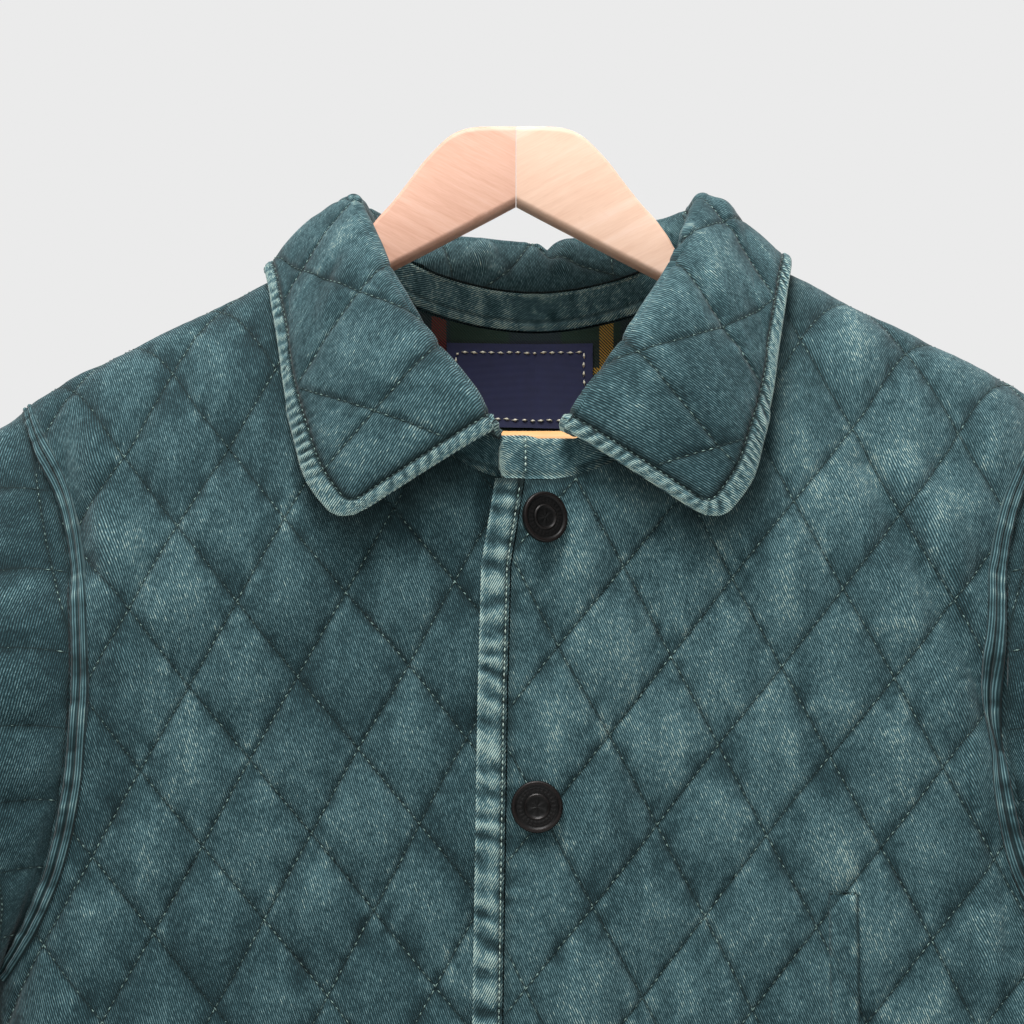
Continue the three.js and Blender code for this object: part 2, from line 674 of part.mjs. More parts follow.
// Flat distance along the collar of each station, measured halfway down the leaf
const collarAlong = collarStations.map(() => 0);
for (let k = 1; k < collarAlong.length; k++) {
  const middle = (at) => collarVector('fold', at).lerp(collarVector('edge', at), 0.5);
  collarAlong[k] = collarAlong[k - 1] + middle(k).distanceTo(middle(k - 1));
}
const collarReach = collarAlong[collarMiddle];

function stationAt(a) {
  const place = Math.min(2 * collarReach, Math.max(0, a + collarReach));
  const next = Math.max(1, collarAlong.findIndex((along) => along >= place - 1e-9));
  return next - 1 + (place - collarAlong[next - 1]) / (collarAlong[next] - collarAlong[next - 1]);
}

// The neck band's inner face at a height above the neck seam; it leans in behind and at the sides
function tapeFrame(at) {
  const seam = collarVector('seam', at);
  const around = Math.PI * Math.abs(at - collarMiddle) / collarMiddle;
  const inward = new THREE.Vector3(-seam.x, -seam.y * 2, 0).normalize();
  const lean = 0.22 * smooth((Math.cos(around) + 1) * 0.75);
  const up = new THREE.Vector3(0, 0, 1).add(inward.clone().multiplyScalar(lean)).normalize();
  return { seam, inward, up };
}

function tapeTop(at) {
  const { seam, inward, up } = tapeFrame(at);
  const rise = tape.sideRise * Math.max(0, 1 - Math.abs(seam.y / 25));
  return seam.add(inward.multiplyScalar(tape.inset)).add(up.multiplyScalar(tape.height + tape.gap + rise));
}

const collarRise = (at) => Math.max(6, collarVector('fold', at).distanceTo(tapeTop(at)));

// One wall: up from the neck band on the inside, over the roll at c = 0, and down as the leaf
function collarPoint(a, c) {
  const at = stationAt(a);
  const fold = collarVector('fold', at);
  const edge = collarVector('edge', at);
  const outward = new THREE.Vector3(fold.x - collar.shift, fold.y * 2, 0).normalize();
  const rolled = THREE.MathUtils.clamp(c / collar.rollFlat, -1, 1) * Math.PI / 2;
  const start = fold.clone().add(outward.multiplyScalar(-collar.roll * Math.sin(rolled)));
  start.z += collar.roll * (Math.cos(rolled) - 1);
  if (c >= 0) {
    const rise = collarRise(at);
    const t = Math.min(1, Math.max(0, c - collar.rollFlat) / Math.max(1, rise - collar.rollFlat));
    const inward = new THREE.Vector3(-fold.x, -fold.y * 2, 0).normalize();
    return start.lerp(tapeTop(at), t).add(inward.multiplyScalar(0.35 * rise * t * (1 - t)));
  }
  const t = Math.min(1, Math.max(0, -c - collar.rollFlat) / (collar.height - collar.rollFlat));
  const step = 0.05;
  const along = collarVector('fold', at + step).add(collarVector('edge', at + step))
    .sub(collarVector('fold', at - step)).sub(collarVector('edge', at - step));
  const chord = edge.clone().sub(fold);
  const out = along.cross(chord).normalize();
  const bow = 2.6 * through(collarStations, 'bulge', at) * Math.sqrt(t) * (1 - t);
  const point = start.add(edge.sub(fold).multiplyScalar(t)).add(out.multiplyScalar(bow));
  return clearOfBody(point, collar.clear);
}

function collarPiece() {
  const half = collarReach;
  const r = collar.corner;
  const steps = 26;
  const round = (side) => Array.from({ length: 4 }, (_, k) => {
    const angle = Math.PI / 2 * k / 3;
    return { a: side * (half - r + r * Math.cos(angle)), c: -(collar.height - r + r * Math.sin(angle)) };
  });
  const end = (side) => [0, -22, -44].map((c) => ({ a: side * half, c }));
  const top = Array.from({ length: steps + 1 }, (_, k) => {
    const a = half * (2 * k / steps - 1);
    const { inward, up } = tapeFrame(stationAt(a));
    const normal = inward.sub(up.clone().multiplyScalar(inward.dot(up))).normalize();
    return { a, c: collarRise(stationAt(a)), normal };
  });
  const bottom = run(steps, (t) => ({ a: (half - r) * (1 - 2 * t), c: -collar.height })).slice(1);
  const outline = [...top, ...end(1), ...round(1), ...bottom, ...round(-1).reverse(), ...end(-1).reverse()];
  const rise = collar.rollPuff;
  const rows = [3, -3].flatMap((c) => run(steps, (t) => ({ a: half * (2 * t - 1 + 1 / steps), c, rise })));
  const crest = run(steps, (t) => ({ a: half * (2 * t - 1), c: 0, rise })).slice(1);
  const shoulder = collarReach - collarAlong[ridgeRow];
  const over = [-1, 1].flatMap((side) => [-16, -32, -48, -64].map((c) => ({ a: side * shoulder, c, rise })));
  return quiltedPanel('collar', outline, quiltCollar, collarPoint, -1, {
    thick: collar.wall, margin: 9, high: collar.puff, rows: [...rows, ...crest, ...over],
    skip: (p) => Math.abs(p.c) < 9 || (p.c < 0 && Math.abs(Math.abs(p.a) - shoulder) < 10),
  });
}

// The neck band: a plain strip just inside the neck seam, its left end over its right one
function neckBand() {
  const rings = [];
  const steps = 52;
  for (let k = 0; k <= steps; k++) {
    const place = (2 * collarReach + 2 * tape.lap) * k / steps - collarReach - tape.lap;
    const past = place - THREE.MathUtils.clamp(place, -collarReach, collarReach);
    const { seam, inward, up } = tapeFrame(stationAt(place));
    const low = seam.add(new THREE.Vector3(-past, 0, 0)).add(inward.clone().multiplyScalar(tape.inset));
    low.z += tape.sideRise * Math.max(0, 1 - Math.abs(low.y / 25));
    const high = low.clone().add(up.clone().multiplyScalar(tape.height));
    const thick = inward.clone().multiplyScalar(tape.wall);
    rings.push([low, high, high.clone().add(thick), low.clone().add(thick)]);
  }
  return loft('neck_band', rings, cloth.tape);
}

// Seam band round an armhole, down to where the sleeve hides it: a flat strip on the body's points
function armholeBand(side) {
  const rings = [];
  for (let k = -band.steps; k <= band.steps; k++) {
    const share = band.share * (Math.abs(k) / band.steps) ** 1.3;
    const face = k > 0 ? -1 : 1;
    const p = armholePlace(share, face);
    const [before, after] = [armholePlace(Math.max(0, share - 0.01), face), armholePlace(share + 0.01, face)];
    const inwards = new THREE.Vector2(after.c - before.c, before.a - after.a).normalize();
    if (k === 0) inwards.set(-1, ridge.slope).normalize();
    const form = face < 0 ? rightFrontPoint : backPoint;
    const spot = (across, out) => {
      const a = p.a + across * inwards.x;
      const { x } = acrossBody(a, p.c);
      const c = Math.min(p.c + across * inwards.y, ridgeHeight(x) + ridge.arc - ridge.drop - 0.1);
      const point = form(a, c).add(normalOf(form, a, c, -face).multiplyScalar(out));
      return new THREE.Vector3(side * point.x, point.y, point.z);
    };
    const [near, wide] = [band.inset, band.inset + band.width];
    const [low, high] = [band.lift, band.lift + band.wall];
    rings.push([spot(near, low), spot(wide, low), spot(wide - 1, high), spot(near + 1, high)]);
  }
  return loft(side > 0 ? 'armhole_band_left' : 'armhole_band_right', rings, cloth.strip);
}

// The left front's edge strip, folded and turned in
function frontStrip() {
  const rings = [];
  for (let k = 0; k <= strip.steps; k++) {
    const c = body.hem + (neck.frontHeight - 1 - body.hem) * k / strip.steps;
    const start = atHeight(frontEdge, 'x', c);
    const spot = (across, out) => leftFrontPoint(start + across, c).add(new THREE.Vector3(0, -out, 0));
    rings.push([
      spot(1.2, 0), spot(strip.width, 0), spot(strip.width, strip.wall - 1), spot(strip.width - 3, strip.wall),
      spot(3, strip.wall), spot(0, strip.wall * 0.6),
    ]);
  }
  return loft('front_strip', rings, cloth.strip);
}

// Height of the diamonds' faces at a flat place, without the fade towards the outline
function quiltRise(quilt, a, c) {
  const lean = THREE.MathUtils.degToRad(quilt.lean);
  const [da, dc] = [a - quilt.a, c - quilt.c];
  const u = (da * Math.cos(lean) + dc * Math.sin(lean)) * 2 / quilt.width;
  const v = (dc * Math.cos(lean) - da * Math.sin(lean)) * 2 / quilt.height;
  const [p, q] = [(u + v) / 2, (u - v) / 2];
  const [fp, fq] = [Math.abs(p - Math.round(p)), Math.abs(q - Math.round(q))];
  return puff * 2 * Math.min(fp, fq);
}

// The chest pocket's welt lies on the left front beside its upright opening
function pocketWelt() {
  const rings = [];
  for (let k = 0; k <= pocket.steps; k++) {
    const c = pocket.top - pocket.length * k / pocket.steps;
    const spot = (across, out) => {
      const a = pocket.x - pocket.width + across;
      const base = wall + 3 * seamGap + quiltRise(quiltLeft, a, c);
      return leftFrontPoint(a, c).add(new THREE.Vector3(0, -base - out, 0));
    };
    const middle = pocket.width / 2;
    rings.push([
      spot(0, 0), spot(middle, 0), spot(pocket.width, 0), spot(pocket.width, pocket.wall),
      spot(middle, pocket.wall), spot(1, pocket.wall * 0.7),
    ]);
  }
  return loft('pocket_welt', rings, cloth.green);
}

// A thin sheet on the back's inner wall: rows down, places across, pushed in by a distance
function innerSheet(name, sheet, inwards, color) {
  const columns = 12;
  const rings = [];
  for (let k = 0; k <= columns; k++) {
    const x = sheet.x - sheet.half + 2 * sheet.half * k / columns;
    const line = Array.from({ length: sheet.steps + 1 }, (_, n) => {
      const place = flatPlace(x, sheet.top + (sheet.bottom - sheet.top) * n / sheet.steps);
      const normal = normalOf(backPoint, place.a, place.c, -1);
      const point = backPoint(place.a, place.c);
      const at = (distance) => point.clone().sub(normal.clone().multiplyScalar(distance));
      return [at(inwards), at(inwards + sheet.wall)];
    });
    rings.push([...line.map((p) => p[0]), ...line.map((p) => p[1]).reverse()]);
  }
  return stripGrid(name, rings, color);
}

// Loft whose end faces are split in pairs of points, for thin sheets
function stripGrid(name, rings, color) {
  const count = rings[0].length;
  const faces = ringFaces(rings);
  const end = (rings.length - 1) * count;
  for (let j = 0; j < count / 2 - 1; j++) {
    const [p, q, r, s] = [j, j + 1, count - 2 - j, count - 1 - j];
    faces.push([p, r, q], [p, s, r], [end + p, end + q, end + r], [end + p, end + r, end + s]);
  }
  return solid(name, rings.flat(), faces, color);
}

function buttons() {
  const profile = [
    [0, 0], [9.5, 0], [12, 1.6], [12, 3.2], [11.2, 4.2], [9.8, 4.2], [9, 3.4], [6.4, 3.2],
    [5.6, 3.9], [4.6, 3.2], [0, 3.2],
  ].map(([r, y]) => new THREE.Vector2(r * button.radius / 12, y));
  return buttonRows.map(({ x, z, lift, turn }, k) => {
    const geometry = new THREE.LatheGeometry(profile, button.sides);
    geometry.rotateX(Math.PI);
    const material = new THREE.MeshStandardMaterial({ color: 0x241f20, roughness: 0.45, metalness: 0.3 });
    const mesh = new THREE.Mesh(geometry, material);
    const { c } = flatPlace(x, z);
    mesh.position.copy(leftFrontPoint(x, c));
    mesh.position.y -= lift;
    mesh.rotation.z = THREE.MathUtils.degToRad(turn);
    mesh.name = `button_${k + 1}`;
    return mesh;
  });
}

// Hanger halves: rounded oblong sections along each arm, bent forward as the shoulder ridge is
function hangerHalf(side) {
  const rings = hangerRows.map((row, k) => {
    const x = Math.max(row.x, hanger.glue);
    const y = -ridge.forward * (x / ridge.forwardAt) ** 2;
    const thin = k === hangerRows.length - 1 ? 0.7 : 1;
    const [half, edge] = [hanger.wall / 2 * thin, hanger.edge * thin];
    const corner = (dy, z) => new THREE.Vector3(side * x, y + dy, z);
    return [
      corner(-half, row.top - edge),
      corner(-half + edge * 0.3, row.top - edge * 0.3),
      corner(-half + edge, row.top),
      corner(half - edge, row.top),
      corner(half - edge * 0.3, row.top - edge * 0.3),
      corner(half, row.top - edge),
      corner(half, row.bottom + edge),
      corner(half - edge * 0.4, row.bottom),
      corner(-half + edge * 0.4, row.bottom),
      corner(-half, row.bottom + edge),
    ];
  });
  const color = side > 0 ? 0xe8c7a4 : 0xdfb493;
  return loft(side > 0 ? 'hanger_left' : 'hanger_right', rings, color, 0.55);
}

function hangerBar() {
  const end = hangerRows.find((row) => row.bottom === -173).x - 1.5 - seamGap;
  const y = -ridge.forward * (end / ridge.forwardAt) ** 2;
  const rings = [-end, end].map((x) => run(bar.sides, (t) => new THREE.Vector3(
    x, y + bar.radius * Math.cos(2 * Math.PI * t), bar.z + bar.radius * Math.sin(2 * Math.PI * t),
  )));
  return loft('hanger_bar', rings, 0xe0a86c, 0.5);
}

const garment = new THREE.Group();
garment.position.x = body.shift;
garment.add(...fronts(), back(), ...sleeves(), collarPiece(), neckBand());
garment.add(armholeBand(1), armholeBand(-1), frontStrip(), pocketWelt(), ...buttons());
garment.add(innerSheet('neck_lining', lining, lining.gap, cloth.tartan));
garment.add(innerSheet('neck_label', label, lining.gap + lining.wall + seamGap, cloth.label));

const group = new THREE.Group();
group.add(garment, hangerHalf(1), hangerHalf(-1), hangerBar());

export default group;
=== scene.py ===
import math

import bpy
import numpy as np
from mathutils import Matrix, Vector


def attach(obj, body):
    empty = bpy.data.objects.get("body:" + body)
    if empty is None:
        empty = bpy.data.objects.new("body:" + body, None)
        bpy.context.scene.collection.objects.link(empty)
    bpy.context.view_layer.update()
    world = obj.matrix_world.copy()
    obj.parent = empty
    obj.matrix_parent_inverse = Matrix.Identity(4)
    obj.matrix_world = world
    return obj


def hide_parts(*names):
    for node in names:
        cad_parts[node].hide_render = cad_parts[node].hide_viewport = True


# A quilted jacket on a wooden hanger. Shapes are worked out in the solids' millimetres, then made in metres.
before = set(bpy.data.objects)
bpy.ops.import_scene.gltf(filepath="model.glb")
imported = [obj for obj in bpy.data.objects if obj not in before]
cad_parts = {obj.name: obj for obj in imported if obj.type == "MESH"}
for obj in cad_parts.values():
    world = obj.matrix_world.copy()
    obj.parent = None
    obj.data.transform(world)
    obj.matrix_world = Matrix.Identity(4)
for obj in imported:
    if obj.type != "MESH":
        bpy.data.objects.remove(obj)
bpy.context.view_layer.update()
print("frame loaded,", len(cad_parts), "nodes")

camera = {"place": (-0.00202, -1.15129, -0.35836), "looks": (0, 0.990, 0.139), "lens": 82.28, "sensor": 36,
          "clipStart": 0.01}


def makeCamera():
    # looks along one direction from its place
    data = bpy.data.cameras.new("camera")
    data.lens = camera["lens"]
    data.sensor_width = camera["sensor"]
    data.clip_start = camera["clipStart"]
    seen = bpy.data.objects.new("camera", data)
    seen.location = camera["place"]
    seen.rotation_euler = Vector(camera["looks"]).to_track_quat("-Z", "Y").to_euler()
    bpy.context.scene.collection.objects.link(seen)
    bpy.context.scene.camera = seen


makeCamera()
print("camera ready")

# General shape tools

def smooth(t):
    # t squared times (3 - 2 t), with t held from 0 to 1
    k = np.clip(t, 0, 1)
    return k * k * (3 - 2 * k)


def bump(t):
    # a bell: e to the minus t squared, 1 at t = 0 and near 0 past t = 2
    return np.exp(-np.square(t))


def through(rows, place):
    # Catmull-Rom curve read at fractional rows: a cubic of the four rows round each place
    rows = np.asarray(rows, float)
    last = len(rows) - 1
    at = np.clip(place, 0, last)
    k = np.minimum(last - 1, np.floor(at).astype(int))
    t = (at - k)[..., None]
    p, q, r, s = (rows[np.clip(k + n, 0, last)] for n in (-1, 0, 1, 2))
    bow, twist = 2 * p - 5 * q + 4 * r - s, 3 * q - p - 3 * r + s
    return 0.5 * (2 * q + (r - p) * t + bow * t ** 2 + twist * t ** 3)


def unit(v):
    # each vector over its length
    return v / np.maximum(np.linalg.norm(v, axis=-1, keepdims=True), 1e-9)


def vec(x, y, z):
    # three arrays as one array of points
    return np.stack(np.broadcast_arrays(x, y, z), -1).astype(float)


tableSize = 64


def tableOf(seed):
    # a square table of random heights from -1 to 1
    return np.random.default_rng(seed).uniform(-1, 1, (tableSize, tableSize))


def noise(x, y, seed=1):
    # value noise from -1 to 1: random heights on whole places, blended smoothly between them
    table = tableOf(seed)
    i, j = np.floor(x).astype(int), np.floor(y).astype(int)
    u, v = smooth(x - i), smooth(y - j)
    at = lambda di, dj: table[(i + di) % tableSize, (j + dj) % tableSize]
    return (at(0, 0) * (1 - u) + at(1, 0) * u) * (1 - v) + (at(0, 1) * (1 - u) + at(1, 1) * u) * v


def creaseNoise(x, y, seed):
    # thin soft ridges where a noise crosses zero: (1 - its size) to the fourth
    return (1 - np.abs(noise(x, y, seed))) ** 4


def normalsOf(place, a, c, turn, step=0.5):
    # cross product of the place function's two central differences
    across = place(a + step, c) - place(a - step, c)
    up = place(a, c + step) - place(a, c - step)
    return unit(np.cross(across, up)) * turn


def alongLine(points, shares):
    # places at shares of a line's length
    points = np.asarray(points, float)
    total = np.concatenate([[0], np.cumsum(np.hypot(*np.diff(points, axis=0).T))])
    return np.stack([np.interp(np.asarray(shares) * total[-1], total, points[:, n]) for n in (0, 1)], -1)


def lineDistance(a, c, points):
    # least distance to a line of straight pieces, and how far along it that is
    least = np.full(np.shape(a), 1e9)
    where = np.zeros(np.shape(a))
    done = 0
    for (sa, sc), (ea, ec) in zip(points[:-1], points[1:]):
        da, dc = ea - sa, ec - sc
        length = math.hypot(da, dc) or 1e-9
        t = np.clip(((a - sa) * da + (c - sc) * dc) / length ** 2, 0, 1)
        d = np.hypot(a - sa - t * da, c - sc - t * dc)
        where = np.where(d < least, done + t * length, where)
        least = np.minimum(least, d)
        done += length
    return least, where


def insideLine(a, c, points):
    # odd number of crossings of the closed line by a level ray
    within = np.zeros(np.shape(a), bool)
    for (sa, sc), (ea, ec) in zip(points, np.roll(points, -1, axis=0)):
        if sc == ec:
            continue
        cross = ((sc > c) != (ec > c)) & (a < sa + (ea - sa) * (c - sc) / (ec - sc))
        within ^= cross
    return within


def makeMesh(name, points, faces, maps=None, values=None):
    # arrays of points and of equal or mixed faces into one smooth mesh, with its maps and point values
    sizes = np.concatenate([np.full(len(f), f.shape[1]) for f in faces])
    loops = np.concatenate([f.ravel() for f in faces]).astype(np.int32)
    mesh = bpy.data.meshes.new(name)
    mesh.vertices.add(len(points))
    mesh.vertices.foreach_set("co", (points * 0.001).astype(np.float32).ravel())
    mesh.loops.add(len(loops))
    mesh.loops.foreach_set("vertex_index", loops)
    mesh.polygons.add(len(sizes))
    mesh.polygons.foreach_set("loop_start", np.concatenate([[0], np.cumsum(sizes)[:-1]]).astype(np.int32))
    mesh.polygons.foreach_set("use_smooth", np.ones(len(sizes), bool))
    mesh.update(calc_edges=True)
    for key, at in (maps or {}).items():
        layer = mesh.uv_layers.new(name=key)
        layer.data.foreach_set("uv", at[loops].astype(np.float32).ravel())
    for key, amount in (values or {}).items():
        layer = mesh.attributes.new(key, "FLOAT", "POINT")
        layer.data.foreach_set("value", amount.astype(np.float32).ravel())
    made = bpy.data.objects.new(name, mesh)
    bpy.context.scene.collection.objects.link(made)
    return made


def gridFaces(rows, cols, start=0, closed=False):
    # quads between neighbouring rows; a closed grid also joins its last column to its first
    k = np.arange(rows * cols).reshape(rows, cols) + start
    if closed:
        k = np.concatenate([k, k[:, :1]], 1)
    return np.stack([k[:-1, :-1], k[:-1, 1:], k[1:, 1:], k[1:, :-1]], -1).reshape(-1, 4)


def rimFaces(outer, inner, step):
    # triangles between a fine edge line and a coarse one that has every step-th place of it
    parts = []
    n = len(inner) - 1
    for k in range(step):
        near = inner[:-1] if k < step / 2 else inner[1:]
        parts.append(np.stack([outer[k:k + step * n:step], near, outer[k + 1:k + 1 + step * n:step]], -1))
    half = math.ceil(step / 2)
    parts.append(np.stack([outer[half:half + step * n:step], inner[:-1], inner[1:]], -1))
    return np.concatenate(parts)


sharpAngle = {"wall": 65, "loft": 50}


def wallMesh(name, outer, inner, maps, values, step, turn):
    # a fine outer wall, a coarse inner wall from every step-th point, and a rim between their edges
    rows, cols = outer.shape[:2]
    lines = inner[::step, ::step]
    r, c = lines.shape[:2]
    fine = np.arange(rows * cols).reshape(rows, cols)
    coarse = np.arange(r * c).reshape(r, c) + rows * cols
    front = gridFaces(rows, cols)
    back = gridFaces(r, c, rows * cols)[:, ::-1]
    edges = [(fine[0], coarse[0]), (fine[:, -1], coarse[:, -1]), (fine[-1, ::-1], coarse[-1, ::-1]),
             (fine[::-1, 0], coarse[::-1, 0])]
    rim = np.concatenate([rimFaces(f, k, step) for f, k in edges])
    faces = [front, back, rim]
    if turn < 0:
        faces = [f[:, ::-1] for f in faces]
    both = lambda v: np.concatenate([v.reshape(rows * cols, -1), v[::step, ::step].reshape(r * c, -1)])
    made = makeMesh(name, np.concatenate([outer.reshape(-1, 3), lines.reshape(-1, 3)]), faces,
                    {k: both(v) for k, v in maps.items()}, {k: both(v[..., None]) for k, v in values.items()})
    made.data.set_sharp_from_angle(angle=math.radians(sharpAngle["wall"]))
    return made


def loftMesh(name, rings, maps=None, values=None):
    # rings of points joined round and along, closed by fans at both ends; turned out if its volume is negative
    n, m = rings.shape[:2]
    ends = np.stack([rings[0].mean(0), rings[-1].mean(0)])
    sides = gridFaces(n, m, 0, True)
    k = np.arange(m)
    first = np.stack([np.full(m, n * m), (k + 1) % m, k], -1)
    last = np.stack([np.full(m, n * m + 1), (n - 1) * m + k, (n - 1) * m + (k + 1) % m], -1)
    points = np.concatenate([rings.reshape(-1, 3), ends])
    volume = 0
    for corners in ((0, 1, 2), (0, 2, 3)):
        p, q, r = (points[sides[:, i]] for i in corners)
        volume += np.einsum("ij,ij->i", p, np.cross(q, r)).sum()
    faces = [sides, first, last] if volume > 0 else [sides[:, ::-1], first[:, ::-1], last[:, ::-1]]
    middles = lambda v: np.stack([v[0].mean(0), v[-1].mean(0)])
    more = lambda v: np.concatenate([v.reshape(n * m, -1), middles(v)])
    made = makeMesh(name, points, faces, {k: more(v) for k, v in (maps or {}).items()},
                    {k: more(v[..., None]) for k, v in (values or {}).items()})
    made.data.set_sharp_from_angle(angle=math.radians(sharpAngle["loft"]))
    return made


def strapMesh(name, spot, along, across, height, low, values=None):
    # a face standing height(s, t) over a back that lies at low, carried along a path
    s, t = np.meshgrid(along, across, indexing="ij")
    top = spot(s, t, height(s, t))
    bottom = spot(s, t, low(s, t))[:, ::-1]
    flat = np.stack([t, s], -1) * 0.001
    maps = {"cloth": np.concatenate([flat, flat[:, ::-1]], 1)}
    worn = {k: np.concatenate([v(s, t), v(s, t)[:, ::-1]], 1) for k, v in (values or {}).items()}
    return loftMesh(name, np.concatenate([top, bottom], 1), maps, worn)


# Materials

class Amount:
    # a number socket; an expression on amounts adds its Math nodes
    def __init__(self, look, socket):
        self.look = look
        self.socket = socket

    def math(self, operation, *others):
        values = {n: v for n, v in enumerate((self, *others))}
        return Amount(self.look, self.look.node("ShaderNodeMath", {"operation": operation}, values).outputs[0])

    def __add__(self, other):
        return self.math("ADD", other)

    def __sub__(self, other):
        return self.math("SUBTRACT", other)

    def __rsub__(self, other):
        return (self * -1) + other

    def __mul__(self, other):
        return self.math("MULTIPLY", other)

    def __truediv__(self, other):
        return self.math("DIVIDE", other)

    def __pow__(self, other):
        return self.math("POWER", other)

    __radd__ = __add__
    __rmul__ = __mul__


class Look:
    # one node material
    def __init__(self, name):
        self.material = bpy.data.materials.new(name)
        self.material.use_nodes = True
        self.tree = self.material.node_tree
        self.shader = self.tree.nodes["Principled BSDF"]

    def node(self, kind, settings=None, inputs=None):
        made = self.tree.nodes.new(kind)
        for key, value in (settings or {}).items():
            if key == "stops":
                ramp = made.color_ramp
                while len(ramp.elements) < len(value):
                    ramp.elements.new(0.5)
                for stop, (place, color) in zip(ramp.elements, value):
                    stop.position = place
                    stop.color = (*color, 1)
            else:
                setattr(made, key, value)
        for key, value in (inputs or {}).items():
            if isinstance(value, Amount):
                value = value.socket
            if isinstance(value, bpy.types.NodeSocket):
                self.tree.links.new(value, made.inputs[key])
            elif isinstance(value, tuple) and len(value) == 3 and made.inputs[key].type == "RGBA":
                made.inputs[key].default_value = (*value, 1)
            else:
                made.inputs[key].default_value = value
        return made

    def uv(self, name):
        # the two numbers of a map
        at = self.node("ShaderNodeUVMap", {"uv_map": name})
        parts = self.node("ShaderNodeSeparateXYZ", None, {0: at.outputs[0]})
        return Amount(self, parts.outputs[0]), Amount(self, parts.outputs[1])

    def value(self, name):
        return Amount(self, self.node("ShaderNodeAttribute", {"attribute_name": name}).outputs["Fac"])

    def noise(self, place, scale, detail=3.0, rough=0.55):
        made = self.node("ShaderNodeTexNoise", None,
                         {"Vector": place, "Scale": scale, "Detail": detail, "Roughness": rough})
        return Amount(self, made.outputs[0])

    def point(self, x, y, z=0.0):
        return self.node("ShaderNodeCombineXYZ", None, {0: x, 1: y, 2: z}).outputs[0]

    def objectPoint(self):
        return self.node("ShaderNodeTexCoord").outputs["Object"]

    def ramp(self, amount, stops):
        return self.node("ShaderNodeValToRGB", {"stops": stops}, {0: amount}).outputs[0]

    def mix(self, factor, low, high, kind="MIX"):
        made = self.node("ShaderNodeMix", {"data_type": "RGBA", "blend_type": kind, "clamp_factor": True},
                         {0: factor, 6: low, 7: high})
        return made.outputs[2]

    def fixed(self, **settings):
        # values that are the same all over go on the shader's own sockets
        for key, value in settings.items():
            socket = self.shader.inputs[key.replace("_", " ")]
            socket.default_value = (*value, 1) if isinstance(value, tuple) else value

    def finish(self, color, rough, height=None, distance=0.0003, strength=1.0):
        self.tree.links.new(color, self.shader.inputs["Base Color"])
        if isinstance(rough, Amount):
            self.tree.links.new(rough.socket, self.shader.inputs["Roughness"])
        else:
            self.shader.inputs["Roughness"].default_value = rough
        if height is not None:
            made = self.node("ShaderNodeBump", None,
                             {"Height": height, "Distance": distance, "Strength": strength})
            self.tree.links.new(made.outputs[0], self.shader.inputs["Normal"])
        return self.material


def srgb(code):
    # a web colour as linear numbers
    parts = [int(code[n:n + 2], 16) / 255 for n in (1, 3, 5)]
    return tuple(p / 12.92 if p <= 0.04045 else ((p + 0.055) / 1.055) ** 2.4 for p in parts)


twill = {
    "pitch": 0.00098, "angle": 22, "fibre": 0.0026, "fibreWidth": 0.00075, "drift": 0.5, "driftScale": 90,
    "dark": "#0a2226", "middle": "#2c4b51", "light": "#67898e", "pale": "#b0c5ba", "shadow": "#081c1d",
    "stops": (0.0, 0.4, 0.78, 1.0), "contrast": 1.15, "tone": 0.29, "grain": 1.3, "grainMiddle": 0.32,
    "stretch": 7.0, "worn": 0.5, "wash": 0.38, "washScale": 14, "streak": 0.34, "streakScale": 12,
    "blotch": 0.36, "blotchScale": 160, "slub": 0.2, "slubScale": 240, "rough": 0.86, "relief": 0.00025,
    "stitchDark": 0.8, "thin": 0.8, "thinDark": 0.6, "wide": 7.0, "wideDark": 0.42,
}


